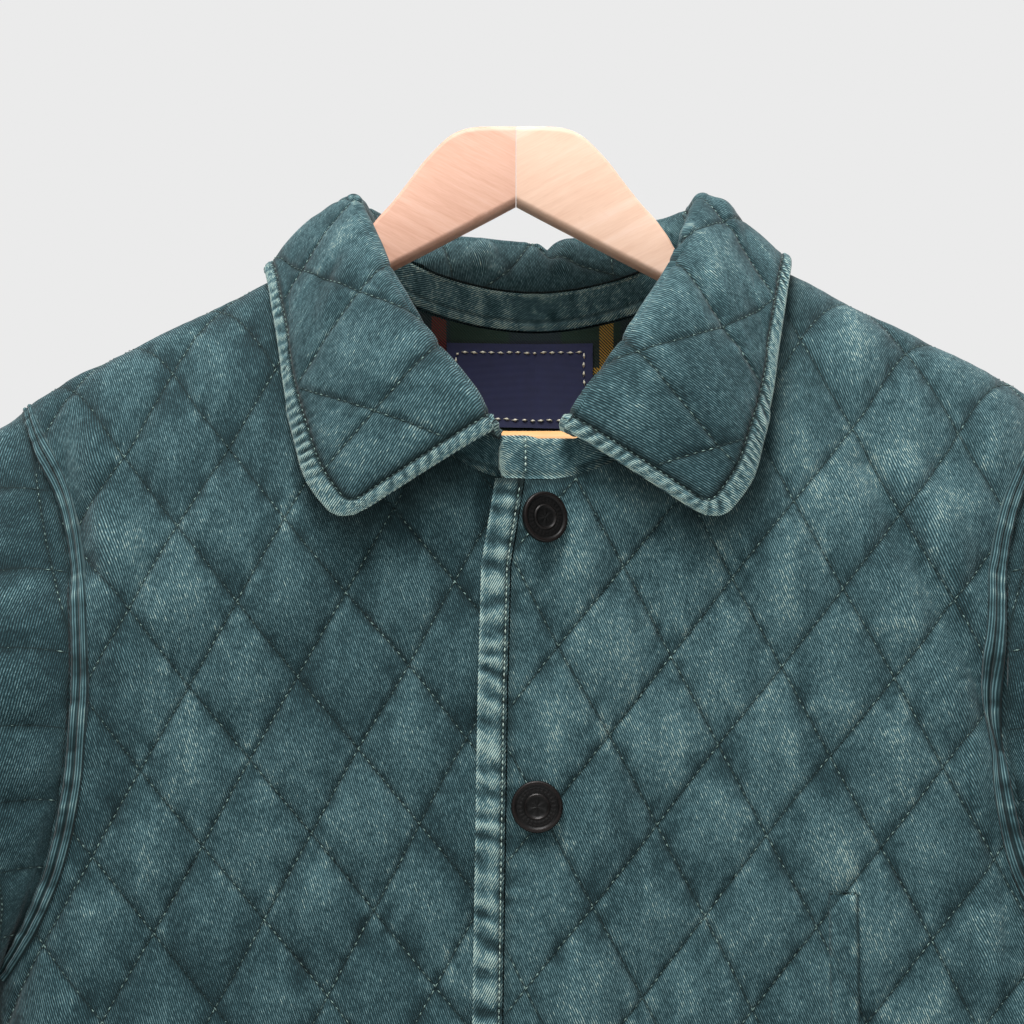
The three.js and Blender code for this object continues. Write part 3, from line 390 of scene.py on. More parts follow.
def twillLook(name, angle=None, stitches=None, tone=0.0):
    # washed twill: the sine of a slanting distance, broken into dashes by noise, gives the grain. Wear with
    # painted highlights, wash, streaks, blotches and slubs are added to it for the ramp's place; stitches = the
    # gap between the sewn lines
    look = Look(name)
    x, y = look.uv("cloth")
    turn = math.radians(twill["angle"] if angle is None else angle)
    flat = look.point(x, y)
    drift = look.noise(flat, twill["driftScale"], 2) * twill["drift"]
    cos, sin = math.cos(turn), math.sin(turn)
    line = (x * (cos / twill["pitch"]) + y * (sin / twill["pitch"]) + drift) * (2 * math.pi)
    across = x * (cos / twill["fibreWidth"]) + y * (sin / twill["fibreWidth"])
    along = y * (cos / twill["fibre"]) - x * (sin / twill["fibre"])
    wave = line.math("SINE") * 0.5 + 0.5
    grain = wave * (look.noise(look.point(across, along), 1, 1) * twill["grain"])
    slub = look.noise(look.point(x * twill["stretch"], y), twill["slubScale"], 2)
    wash = look.noise(flat, twill["washScale"], 4, 0.6)
    streak = look.noise(look.point(x * twill["stretch"], y), twill["streakScale"], 4, 0.6)
    blotch = look.noise(flat, twill["blotchScale"], 4, 0.6)
    # this amount holds real wear and painted highlights on the raised quilting, puckers and rolls
    worn = look.value("worn")
    amount = worn * twill["worn"]
    for cloud, share in ((wash, "wash"), (streak, "streak"), (blotch, "blotch"), (slub, "slub")):
        amount = amount + (cloud - 0.5) * twill[share]
    amount = amount + (grain - twill["grainMiddle"]) * (worn * 0.3 + 0.72) * twill["contrast"]
    amount = amount + (twill["tone"] + tone)
    shades = [srgb(twill[name]) for name in ("dark", "middle", "light", "pale")]
    color = look.ramp(amount, list(zip(twill["stops"], shades)))
    # this amount is painted shade: it mixes the colour towards the shadow colour
    deep = look.value("deep")
    # painted shade along each sewn line: a thin dark groove and a wider darkening of the valley beside it
    if stitches:
        p, q = look.uv("stitches")
        dark = None
        for family in (p, q):
            off = (family - family.math("ROUND")).math("ABSOLUTE") * stitches
            thin = (1 - off / twill["thin"]).math("MAXIMUM", 0.0)
            wide = (1 - off / twill["wide"]).math("MAXIMUM", 0.0)
            part = thin * twill["thinDark"] + wide * wide * twill["wideDark"]
            dark = part if dark is None else dark.math("MAXIMUM", part)
        deep = deep.math("MAXIMUM", dark * twill["stitchDark"] * look.value("sewn"))
    color = look.mix(deep, color, srgb(twill["shadow"]))
    look.fixed(Sheen_Weight=0.12, Sheen_Roughness=0.5, Specular_IOR_Level=0.2)
    return look.finish(color, twill["rough"], grain + blotch * 0.6, twill["relief"], 0.8)


def threadLook(name, dark, pale):
    # twisted cotton thread, some of it paler
    look = Look(name)
    at = look.objectPoint()
    shade = look.noise(at, 160, 2)
    color = look.ramp(shade, [(0.35, srgb(dark)), (0.62, srgb(pale))])
    return look.finish(color, 0.8, look.noise(at, 2600, 1), 0.0001, 0.5)


# Body of the jacket, as in the solids

body = {"shift": 10, "flatHalf": 206, "turn": 52, "flare": 10, "flareFrom": -430, "flareRun": 360, "hem": -790}
ridge = {"height": -62, "heightAt": 92, "slope": 0.53, "droopFrom": 225, "droop": 0.006, "forward": 14,
         "forwardAt": 250, "arc": 72, "drop": 55, "reach": 30, "growFront": 22, "growBack": 14, "growRun": 160}
neck = {"halfWidth": 95, "frontHeight": -190, "backHeight": -96, "backPower": 0.8}
seamGap = 0.3
wall = 2.0
wallStep = 4  # the plain inner walls have every fourth point

# Folds: a crease's ends in the flat, its half width, and how far it stands out or dips in
foldsFront = np.array([
    [176, -520, 120, -820, 42, 5], [-170, -520, -110, -820, 42, 5],
    [150, -170, 222, -330, 15, -3.2], [170, -175, 246, -345, 17, 3.4], [205, -225, 214, -420, 12, -2.4],
    [-228, -150, -214, -250, 16, -3.6], [-206, -150, -196, -290, 16, 2.6], [-150, -180, -210, -330, 20, 1.8],
    [-60, -215, -150, -330, 26, -1.6], [70, -215, 150, -300, 26, -1.4], [-40, -430, -130, -560, 30, 1.8],
    [60, -480, 20, -640, 28, 1.6], [240, -450, 200, -600, 24, -3], [-240, -450, -205, -620, 24, -3],
])
foldsBack = np.array([
    [-150, -330, -120, -830, 46, 6], [140, -300, 165, -830, 46, 6], [10, -420, -10, -830, 50, -5],
    [-200, -190, -120, -300, 24, 2.4], [190, -185, 130, -330, 22, -2.2], [-60, -150, 40, -170, 18, -2],
    [-235, -440, -180, -560, 20, -3], [230, -430, 190, -600, 22, -3], [60, -300, 20, -420, 26, 2],
])


def foldHeight(folds, a, c):
    # a soft ridge or trough along each line, fading at its ends
    height = 0
    for a1, c1, a2, c2, half, depth in folds:
        da, dc = a2 - a1, c2 - c1
        length = math.hypot(da, dc)
        along = ((a - a1) * da + (c - c1) * dc) / length
        off = np.abs((a - a1) * dc - (c - c1) * da) / length
        ends = smooth(along / half) * smooth((length - along) / half)
        height = height + depth * smooth(1 - off / half) * ends
    return height


def ridgeHeight(x):
    # shoulder line: a straight slope, less a square of the distance past the droop's start
    out = np.abs(x)
    droop = np.maximum(0, out - ridge["droopFrom"])
    return ridge["height"] - ridge["slope"] * (out - ridge["heightAt"]) - ridge["droop"] * droop ** 2


def flatHalf(c):
    # half width of the flat part, with a smooth flare towards the hem
    return body["flatHalf"] + body["flare"] * smooth((body["flareFrom"] - c) / body["flareRun"])


def bodyPoint(a, c, face):
    # flat place (a, c) on the front (face -1) or back (1): arcs by sine and cosine over the shoulder ridge and
    # round the sides, then straight down, moved out by the growth and the folds
    flat = flatHalf(c)
    angle = np.maximum(0, np.abs(a) - flat) / body["turn"]
    x = np.sign(a) * (np.minimum(np.abs(a), flat) + body["turn"] * np.sin(angle))
    extra = ridge["arc"] - ridge["drop"]
    run = np.maximum(0, ridgeHeight(x) + extra - c)
    bend = np.minimum(1, run / ridge["arc"]) * math.pi / 2
    drop = np.where(run < ridge["arc"], ridge["drop"] * (1 - np.cos(bend)), run - extra)
    grow = ridge["growFront"] if face < 0 else ridge["growBack"]
    folds = foldHeight(foldsFront if face < 0 else foldsBack, a, c)
    reach = ridge["reach"] + grow * smooth(drop / ridge["growRun"]) + folds
    y = -ridge["forward"] * (x / ridge["forwardAt"]) ** 2 + face * reach * np.sin(bend) * np.cos(angle)
    return vec(x, y, ridgeHeight(x) - drop)


def flatPlace(x, z):
    # flat place of a point seen at (x, z): the arcs undone by their inverse sine and cosine
    x, z = np.broadcast_arrays(np.asarray(x, float), np.asarray(z, float))
    flat = flatHalf(z)
    over = np.clip((np.abs(x) - flat) / body["turn"], 0, 1)
    a = np.sign(x) * (np.minimum(np.abs(x), flat) + body["turn"] * np.arcsin(over))
    extra = ridge["arc"] - ridge["drop"]
    drop = np.maximum(0, ridgeHeight(x) - z)
    bent = ridge["arc"] * np.arccos(np.clip(1 - drop / ridge["drop"], -1, 1)) / (math.pi / 2)
    run = np.where(drop < ridge["drop"], bent, drop + extra)
    return np.stack([a, ridgeHeight(x) + extra - run], -1)


overlap = {"lift": 8, "liftFrom": 60, "liftRun": 45, "underReach": 22}


def overlapLift(x):
    # how far the left front stands off the right one: full over the lap, smoothly none past it
    return overlap["lift"] * smooth((overlap["liftFrom"] - x) / overlap["liftRun"])


def leftFrontPoint(a, c):
    # the front's point, moved forward by the overlap's lift
    return bodyPoint(a, c, -1) - vec(0, overlapLift(a), 0)


def rightFrontPoint(a, c):
    # the front's point as it is
    return bodyPoint(a, c, -1)


def backPoint(a, c):
    # the back's point
    return bodyPoint(a, c, 1)


neckSide = float(ridgeHeight(neck["halfWidth"]))


def neckFrontHeight(x):
    # quarter ellipses from the front's middle up to the neck's sides
    share = np.minimum(1, np.abs(x) / neck["halfWidth"])
    return neck["frontHeight"] + (neckSide - neck["frontHeight"]) * (1 - np.sqrt(1 - share ** 2))


def neckBackHeight(x):
    # from the sides down to the back's middle by a power of (1 - the share squared)
    share = np.minimum(1, np.abs(x) / neck["halfWidth"])
    return neckSide + (neck["backHeight"] - neckSide) * (1 - share ** 2) ** neck["backPower"]


armholeTop = [252, float(ridgeHeight(252))]
armholeFront = np.array([
    armholeTop, [240, -178], [229, -203], [222, -230], [219, -260], [218, -290], [219, -318], [222, -345],
    [227, -370], [235, -392], [245, -411], [253, -423], [258, -428],
])
armholeBack = np.array([
    armholeTop, [243, -180], [236, -210], [232, -240], [230, -270], [230, -300], [231, -330], [234, -356],
    [239, -380], [246, -402], [252, -417], [256, -425], [258, -428],
])


def armholePlace(share, face):
    # flat place at a share of the armhole, from the shoulder ridge to the underarm
    rows = armholeFront if face < 0 else armholeBack
    at = through(rows, np.asarray(share, float) * (len(rows) - 1))
    return flatPlace(at[..., 0], at[..., 1])


frontEdgeRows = np.array([[-790, -34], [-600, -32], [-430, -30], [-290, -28], [-230, -26.4], [-190, -20]])
strip = {"width": 13.6, "wall": 3.0}


def frontEdge(c):
    # the left front's edge line, straight between its rows
    return np.interp(c, frontEdgeRows[:, 0], frontEdgeRows[:, 1])


# Quilting: diamond coordinates (p, q) are whole on the stitch lines

quilting = {"puff": 3.1, "fade": 24, "roundness": 0.75, "uneven": 0.35, "pucker": 0.5, "puckerPitch": 5.0,
            "puckerReach": 6.0, "groove": 0.8, "grooveHalf": 1.3, "wander": 1.1, "wanderPitch": 55,
            "rumple": 0.55, "seamCalm": 0.12, "seamPitch": 4.2, "seamLength": 30, "seamReach": 9,
            "seamRipple": 0.5, "deepest": -1.2}
# wear and painted light of the quilting: paler pillow tops, puckers and a lit ridge inside each line are wear
# with painted highlights; seamDeep is painted shade along the seams
quiltWearAndPaintedLight = {"top": 0.34, "low": -0.05, "pucker": 0.32, "ridge": 0.22, "ridgeAt": 2.6, "ridgeHalf": 1.6,
             "rumple": 0.25, "fine": 0.1, "seam": 0.35, "seamDeep": 0.55, "seamHalf": 3.0}
quiltLeft = {"width": 52, "height": 79, "lean": -5.5, "a": 84, "c": -315, "seed": 11}
quiltRight = {"width": 50.6, "height": 74.5, "lean": 5.5, "a": -83, "c": -316, "seed": 12}
quiltBack = {"width": 51, "height": 76, "lean": 0, "a": 0, "c": -250, "seed": 13}
quiltSleeve = {"width": 51, "height": 76, "lean": 0, "a": 0, "c": -70, "seed": 14}
quiltCollar = {"width": 56.9, "height": 85.2, "lean": 0, "a": -25.7, "c": -41.1, "seed": 15, "bend": -20.5,
               "bendRun": 60}


def lineGap(quilt):
    # distance between neighbouring stitch lines
    return 1 / math.hypot(1 / quilt["width"], 1 / quilt["height"])


def leanAt(quilt, a):
    # the fixed lean and a bend that grows away from the middle
    return np.radians(quilt["lean"] + quilt.get("bend", 0) * np.tanh(a / quilt.get("bendRun", 1)))


def wander(quilt, a, c):
    # the sewn lines stray a little: two slow noises of the place
    size, u, v = quilting["wander"], a / quilting["wanderPitch"], c / quilting["wanderPitch"]
    return size * noise(u, v, quilt["seed"] + 40), size * noise(u + 9, v, quilt["seed"] + 41)


def diamonds(quilt, a, c):
    # p and q are half the sum and half the difference of the place in half diamonds
    lean = leanAt(quilt, a)
    wa, wc = wander(quilt, a, c)
    da, dc = a + wa - quilt["a"], c + wc - quilt["c"]
    u = (da * np.cos(lean) + dc * np.sin(lean)) * 2 / quilt["width"]
    v = (dc * np.cos(lean) - da * np.sin(lean)) * 2 / quilt["height"]
    return (u + v) / 2, (u - v) / 2


def fromDiamonds(quilt, p, q):
    # the place of (p, q): the straying and the bend are taken off in rounds
    u, v = (p + q) * quilt["width"] / 2, (p - q) * quilt["height"] / 2
    a, c = quilt["a"] + u, quilt["c"] + v
    for _ in range(14 if "bend" in quilt else 4):
        lean = leanAt(quilt, a)
        wa, wc = wander(quilt, a, c)
        a = quilt["a"] + u * np.cos(lean) - v * np.sin(lean) - wa
        c = quilt["c"] + u * np.sin(lean) + v * np.cos(lean) - wc
    return a, c


def quiltRelief(quilt, a, c, puff):
    # height, and wear with painted highlights on the raised parts: pillows with their own fill, a groove on each
    # line and puckers across it
    p, q = diamonds(quilt, a, c)
    cell = tuple(np.floor(v).astype(int) % tableSize for v in (p, q))
    fill = 1 + quilting["uneven"] * tableOf(quilt["seed"])[cell]
    pillow = np.abs(np.sin(math.pi * p) * np.sin(math.pi * q)) ** quilting["roundness"]
    gap = lineGap(quilt)
    height = puff * pillow * fill
    worn = quiltWearAndPaintedLight["top"] * pillow + quiltWearAndPaintedLight["low"]
    for here, other, seed in ((p, q, 21), (q, p, 22)):
        line = np.round(here)
        off = np.abs(here - line) * gap
        side = np.sign(here - line) * 0.35
        ripple = noise(other * gap / quilting["puckerPitch"] + side, line * 3.7 + 0.5, quilt["seed"] + seed)
        near = np.exp(-off / quilting["puckerReach"])
        groove = quilting["groove"] * bump(off / quilting["grooveHalf"])
        height = height + quilting["pucker"] * ripple * near - groove
        # the pucker and ridge terms make the cloth paler beside each line: painted highlights with wear
        edge = bump((off - quiltWearAndPaintedLight["ridgeAt"]) / quiltWearAndPaintedLight["ridgeHalf"])
        worn = worn + quiltWearAndPaintedLight["pucker"] * ripple * near + quiltWearAndPaintedLight["ridge"] * edge * (0.6 + 0.6 * ripple)
    rumple = creaseNoise(a / 34 + 3, c / 46, quilt["seed"] + 31) - 0.25
    fine = noise(a / 9, c / 12, quilt["seed"] + 32)
    height = height + quilting["rumple"] * (rumple + 0.22 * fine)
    worn = worn + quiltWearAndPaintedLight["rumple"] * rumple + quiltWearAndPaintedLight["fine"] * fine
    return height, worn


def faded(quilt, a, c, distance, u, v):
    # the quilting's height and its wear with painted highlights, smoothly faded towards the seams, plus a ripple
    # by (u, v) beside them
    relief, worn = quiltRelief(quilt, a, c, quilting["puff"])
    fade = smooth(distance / quilting["fade"])
    ripple = noise(u / quilting["seamPitch"], v / quilting["seamLength"], quilt["seed"] + 50)
    ripple = ripple * np.exp(-distance / quilting["seamReach"])
    calm = quilting["seamCalm"]
    height = relief * (calm + (1 - calm) * fade) + quilting["seamRipple"] * ripple
    return height, worn * (0.4 + 0.6 * fade) + quiltWearAndPaintedLight["seam"] * ripple


def dress(made, look, node, slot):
    # material, body and replaced solid of a finished piece; its slot is not used
    made.data.materials.append(look)
    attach(made, "root")
    if node:
        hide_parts(node)


def stitchMesh(name, starts, ends, normals, size, look, slot="quilted_cloth"):
    # one small pointed thread for each stitch: two ends and three points round its middle
    middle = (starts + ends) / 2
    side = unit(np.cross(normals, ends - starts)) * size["width"] / 2
    n = len(starts)
    rise = normals * size["rise"]
    points = np.stack([starts + rise, ends + rise, middle + rise + side, middle + rise + normals * size["lift"],
                       middle + rise - side], 1).reshape(-1, 3)
    k = np.arange(n)[:, None] * 5
    corners = ((0, 2, 3), (0, 3, 4), (0, 4, 2), (1, 3, 2), (1, 4, 3), (1, 2, 4))
    faces = np.concatenate([k + np.array(f) for f in corners])
    dress(makeMesh(name, points, [faces[:, ::-1]]), look, None, slot)


stitch = {"pitch": 3.2, "length": 2.1, "width": 0.7, "lift": 0.4, "rise": 0.3, "reach": 14, "stray": 0.02}


def lineStitches(surface, quilt, keep):
    # stitch ends along every line of both families, kept where keep(a, c) is true
    gap = lineGap(quilt)
    starts, ends, normals = [], [], []
    crossing = math.sin(2 * math.atan(quilt["width"] / quilt["height"]))
    ahead, pitch = stitch["length"] / gap / crossing, stitch["pitch"] / gap / crossing
    reach = stitch["reach"]
    along = np.arange(-reach, reach, pitch)
    line = np.arange(-reach, reach + 1)
    s, k = (v.ravel() for v in np.meshgrid(along, line))
    for family in (0, 1):
        at = lambda shift: fromDiamonds(quilt, *((k, s + shift) if family else (s + shift, k)))
        middle = at(ahead / 2)
        here = (k, s + ahead / 2) if family else (s + ahead / 2, k)
        found = diamonds(quilt, *middle)
        good = keep(*middle) & (np.hypot(found[0] - here[0], found[1] - here[1]) < stitch["stray"])
        first, second = at(0), at(ahead)
        starts.append(surface(first[0][good], first[1][good]))
        ends.append(surface(second[0][good], second[1][good]))
        a, c = middle[0][good], middle[1][good]
        normals.append(normalsOf(surface, a, c, 1))
    return np.concatenate(starts), np.concatenate(ends), np.concatenate(normals)


def shifted(points):
    # garment pieces stand a little to the wearer's left of the hanger's middle
    return points + np.array([body["shift"], 0, 0])


quiltThread = threadLook("quilt_thread", "#1c393b", "#86a39c")
topThread = threadLook("top_thread", "#6d8f88", "#b9cdc3")
frontTwill = twillLook("front_twill", stitches=lineGap(quiltLeft))
rightTwill = twillLook("right_front_twill", 19, lineGap(quiltRight), -0.09)
# the sleeves' twill is a darker copy of the same cloth: painted shade for sleeves that hang in shadow
sleeveTwill = twillLook("sleeve_twill", 25, lineGap(quiltSleeve), -0.2)
collarTwill = twillLook("collar_twill", -14, lineGap(quiltCollar), -0.06)
bandTwill = twillLook("band_twill", -30)


def coonsGrid(left, right, bottom, top, rows, cols):
    # straight blends between facing edges, less the blend of the corners
    u = np.linspace(0, 1, cols)[None, :, None]
    v = np.asarray(rows)[:, None, None]
    l, r = alongLine(left, rows)[:, None], alongLine(right, rows)[:, None]
    b, t = alongLine(bottom, u.ravel())[None], alongLine(top, u.ravel())[None]
    corners = ((1 - u) * (1 - v) * b[:, :1] + u * (1 - v) * b[:, -1:] + (1 - u) * v * t[:, :1]
               + u * v * t[:, -1:])
    return (1 - u) * l + u * r + (1 - v) * b + v * t - corners


def edgeShares(count, denseFrom, share):
    # shares from 0 to 1, with this share of them spread over the part from denseFrom up
    low = round(count * (1 - share))
    fine = np.linspace(denseFrom, 1, count - low)
    return np.concatenate([np.linspace(0, denseFrom, low, endpoint=False), fine])


def sideHalf(c):
    # half the panel's flat width: its flat part and a quarter turn round the side
    return flatHalf(c) + body["turn"] * math.pi / 2


underarm = float(armholePlace(1.0, -1)[1])


def sideLine(side, face):
    # side seam from the hem to the underarm, then up the armhole to the shoulder ridge
    c = np.linspace(body["hem"], underarm, 30)
    seam = np.stack([sideHalf(c), c], -1)
    hole = armholePlace(np.linspace(1, 0, 70), face)
    return np.concatenate([seam, hole[1:]]) * [side, 1]


def ridgeLine(side):
    # shoulder seam from the armhole's top to the neck
    x = np.linspace(armholeTop[0], neck["halfWidth"], 40)
    return flatPlace(x, ridgeHeight(x)) * [side, 1]


# Painted shadow of the collar's leaves on the cloth under and just below them: half of their outline, closed
# towards the neck
leafShadow = {"outline": [[12, -164], [85, -205], [104, -188], [123, -101], [123, -50], [-1, -50], [-1, -164]],
           "below": 7, "reach": 9, "depth": 0.55}


def leafShadowShare(a, c):
    # 1 inside the leaves' outline, moved down a little for the painted shadow, and a bell of the distance outside
    # it
    across, up = np.abs(a), c + leafShadow["below"]
    outline = np.array(leafShadow["outline"], float)
    away = lineDistance(across, up, np.concatenate([outline, outline[:1]]))[0]
    return np.where(insideLine(across, up, outline), 1, bump(away / leafShadow["reach"]))


def quiltedPanel(name, grid, outline, form, turn, quilt, look, cut):
    # outer wall = form + normal times (wall + relief); inner wall = form
    def raised(a, c):
        distance, along = lineDistance(a, c, outline)
        height, worn = faded(quilt, a, c, distance, along, distance)
        return wall + np.maximum(height, quilting["deepest"]), worn, distance

    def surface(a, c):
        return form(a, c) + normalsOf(form, a, c, turn) * raised(a, c)[0][..., None]

    a, c = grid[..., 0], grid[..., 1]
    inner = form(a, c)
    thick, worn, distance = raised(a, c)
    outer = inner + normalsOf(form, a, c, turn) * thick[..., None]
    maps = {"cloth": grid * 0.001, "stitches": np.stack(diamonds(quilt, a, c), -1)}
    # painted shadow of the collar's leaves on the fronts
    leafShadowAmount = leafShadow["depth"] * leafShadowShare(a, c) if turn > 0 else 0
    # painted shade along the panel's seams; the darker of it and the leaves' painted shadow is kept
    deep = np.maximum(quiltWearAndPaintedLight["seamDeep"] * bump(distance / quiltWearAndPaintedLight["seamHalf"]), leafShadowAmount)
    values = {"worn": worn, "deep": deep, "sewn": np.ones_like(worn)}
    made = wallMesh(name + "_cloth", shifted(outer), shifted(inner), maps, values, wallStep, turn)
    dress(made, look, name, "quilted_cloth")
    keep = lambda x, y: insideLine(x, y, outline) & (lineDistance(x, y, outline)[0] > 1.5)
    starts, ends, normals = lineStitches(surface, quilt, keep)
    stitchMesh(name + "_stitches", shifted(starts), shifted(ends), normals * turn, stitch, quiltThread)
    print(name, "made,", len(made.data.polygons), "faces and", len(starts), "stitches")
    return surface


def polygonArea(points):
    # half the sum of the cross products round the outline
    nextOnes = np.roll(points, -1, axis=0)
    return abs((points[:, 0] * nextOnes[:, 1] - nextOnes[:, 0] * points[:, 1]).sum()) / 2


def cutOf(outline):
    # a flat panel's width, length and area in metres
    width, length = np.ptp(outline, axis=0) * 0.001
    return (width, length), polygonArea(outline) * 1e-6


def makeFront(side):
    # one front from its edge line, hem, side, armhole, shoulder and neckline
    left = side > 0
    edgeX = (lambda c: frontEdge(c) + strip["width"] + 2 * seamGap) if left else (
        lambda c: np.full(np.shape(c), float(overlap["underReach"])))
    c = np.linspace(body["hem"], neck["frontHeight"], 60)
    edge = np.stack([edgeX(c), c], -1)
    start = math.asin(float(edgeX(neck["frontHeight"])) * side / neck["halfWidth"])
    turns = np.linspace(start, math.pi / 2, 60)
    x = side * neck["halfWidth"] * np.sin(turns)
    neckline = flatPlace(x, neckFrontHeight(x))
    top = np.concatenate([neckline[:-1], ridgeLine(side)[::-1]])
    edge[-1] = top[0]
    outer = sideLine(side, -1)
    bottom = np.stack([np.linspace(edge[0, 0], outer[0, 0], 20), np.full(20, float(body["hem"]))], -1)
    grid = coonsGrid(edge, outer, bottom, top, edgeShares(321, 0.42, 0.7), 193)
    outline = np.concatenate([edge, top[1:], outer[::-1][1:-1], bottom[::-1][:-1]])
    if left:
        return quiltedPanel("front_left", grid, outline, leftFrontPoint, 1, quiltLeft, frontTwill, cutOf(outline))
    grid = grid[:, ::-1]
    return quiltedPanel("front_right", grid, outline, rightFrontPoint, 1, quiltRight, rightTwill, cutOf(outline))


def makeBack():
    # the back in one piece, with its neckline between two shoulders
    left, right = sideLine(-1, 1), sideLine(1, 1)
    x = neck["halfWidth"] * np.sin(np.linspace(-math.pi / 2, math.pi / 2, 60))
    neckline = flatPlace(x, neckBackHeight(x))
    top = np.concatenate([ridgeLine(-1), neckline[1:-1], ridgeLine(1)[::-1]])
    bottom = np.stack([np.linspace(left[0, 0], right[0, 0], 30), np.full(30, float(body["hem"]))], -1)
    grid = coonsGrid(left, right, bottom, top, edgeShares(229, 0.42, 0.62), 209)
    outline = np.concatenate([left, top[1:], right[::-1][1:], bottom[::-1][1:-1]])
    return quiltedPanel("back", grid, outline, backPoint, -1, quiltBack, frontTwill, cutOf(outline))


leftSurface = makeFront(1)
rightSurface = makeFront(-1)
backSurface = makeBack()

# Sleeves

# top and cuff: x, y, z, long and short half width
sleeve = {"top": (327, -44, -452, 76, 44), "cuff": (331, -50, -752, 56, 33), "turn": 22, "twist": 35,
          "halfTop": 205, "halfCuff": 145, "slack": 1.05, "leave": 0.85, "rows": 225, "columns": 157}
sleeveStart = np.array([[0.72, 0, -0.66], [0.84, -0.16, -0.5], [0.9, -0.3, -0.4], [0.9, -0.12, -0.36],
                        [0.86, 0.1, -0.34], [0.93, -0.05, -0.3], [0.95, -0.25, -0.25]])


def sleeveRing(angle, share):
    # oval section, its long axis turned, from the tube's top (share 0) to the cuff (1)
    top, cuff = np.array(sleeve["top"], float), np.array(sleeve["cuff"], float)
    x, y, z, long, short = (t + (u - t) * share for t, u in zip(top, cuff))
    turn = math.radians(sleeve["turn"])
    at = angle + math.radians(sleeve["twist"]) * (1 - np.cos(angle)) / 2
    u, v = long * np.cos(at), -short * np.sin(at)
    return vec(x + u * math.cos(turn) - v * math.sin(turn), y + u * math.sin(turn) + v * math.cos(turn), z)


def bodyOnSide(side, face):
    # one side of the body, mirrored to the left where it is the right one
    return lambda a, c: bodyPoint(a * side, c, face) * [side, 1, 1]


def armholePoint(angle, side=1):
    # the body's point on the armhole: before it for angles over 0, behind it for the others
    share = np.abs(angle) / math.pi
    front, behind = armholePlace(share, -1), armholePlace(share, 1)
    return np.where((angle > 0)[..., None], bodyOnSide(side, -1)(front[..., 0], front[..., 1]),
                    bodyOnSide(side, 1)(behind[..., 0], behind[..., 1]))


sleeveTube = sleeve["top"][2] - sleeve["cuff"][2]


def capLength(angle):
    # straight distance from the armhole to the tube's top, times the slack
    return np.linalg.norm(armholePoint(angle) - sleeveRing(angle, 0), axis=-1) * sleeve["slack"]


sleeveLength = float(capLength(np.zeros(1))[0]) + sleeveTube


def sleeveHalf(b):
    # half the sleeve's flat width at b below the shoulder: even, then narrowing evenly down the tube
    share = np.maximum(0, (b - (sleeveLength - sleeveTube)) / sleeveTube)
    return sleeve["halfTop"] + (sleeve["halfCuff"] - sleeve["halfTop"]) * share


foldsSleeve = np.array([
    [60, -60, 120, -190, 18, 3.2], [20, -50, 60, -170, 15, -3], [90, -120, 150, -260, 16, -3.4],
    [-70, -60, -120, -200, 18, 3], [-30, -80, -60, -220, 15, -2.6], [40, -330, 110, -400, 18, 3],
    [-20, -360, 60, -440, 16, -2.6], [-110, -340, -40, -410, 18, 3], [0, -500, 90, -540, 16, 2.2],
    [-100, -470, -30, -520, 16, -2.4], [120, -300, 60, -350, 16, -2.8],
])


def sleevePoint(a, c, side):
    # Hermite curve from the armhole to the tube, then straight down the tube
    angle = math.pi * a / sleeveHalf(-c)
    angle = angle - 2 * math.pi * np.round(angle / (2 * math.pi))
    toCuff = sleeveLength + c
    low = sleeveRing(angle, 1 - np.clip(toCuff / sleeveTube, -0.05, 1))
    t = np.maximum(-0.02, 1 - (toCuff - sleeveTube) / capLength(angle))[..., None]
    start, end = armholePoint(angle, side), sleeveRing(angle, 0)
    span = np.linalg.norm(start - end, axis=-1)[..., None]
    leave = through(sleeveStart, np.abs(angle) / math.pi * (len(sleeveStart) - 1))
    leave[..., 1] *= np.where(angle > 0, 1, -0.6)
    arrive = np.array([0, 0, -0.9]) * span
    cap = (start * (2 * t ** 3 - 3 * t ** 2 + 1) + leave * sleeve["leave"] * span * (t ** 3 - 2 * t ** 2 + t)
           + end * (3 * t ** 2 - 2 * t ** 3) + arrive * (t ** 3 - t ** 2))
    return np.where((toCuff < sleeveTube)[..., None], low, cap)


def foldedSleeve(side):
    # the sleeve's form with its creases raised along its normal
    form = lambda a, c: sleevePoint(a, c, side)
    return lambda a, c: form(a, c) + normalsOf(form, a, c, -1) * foldHeight(foldsSleeve, a, c)[..., None]


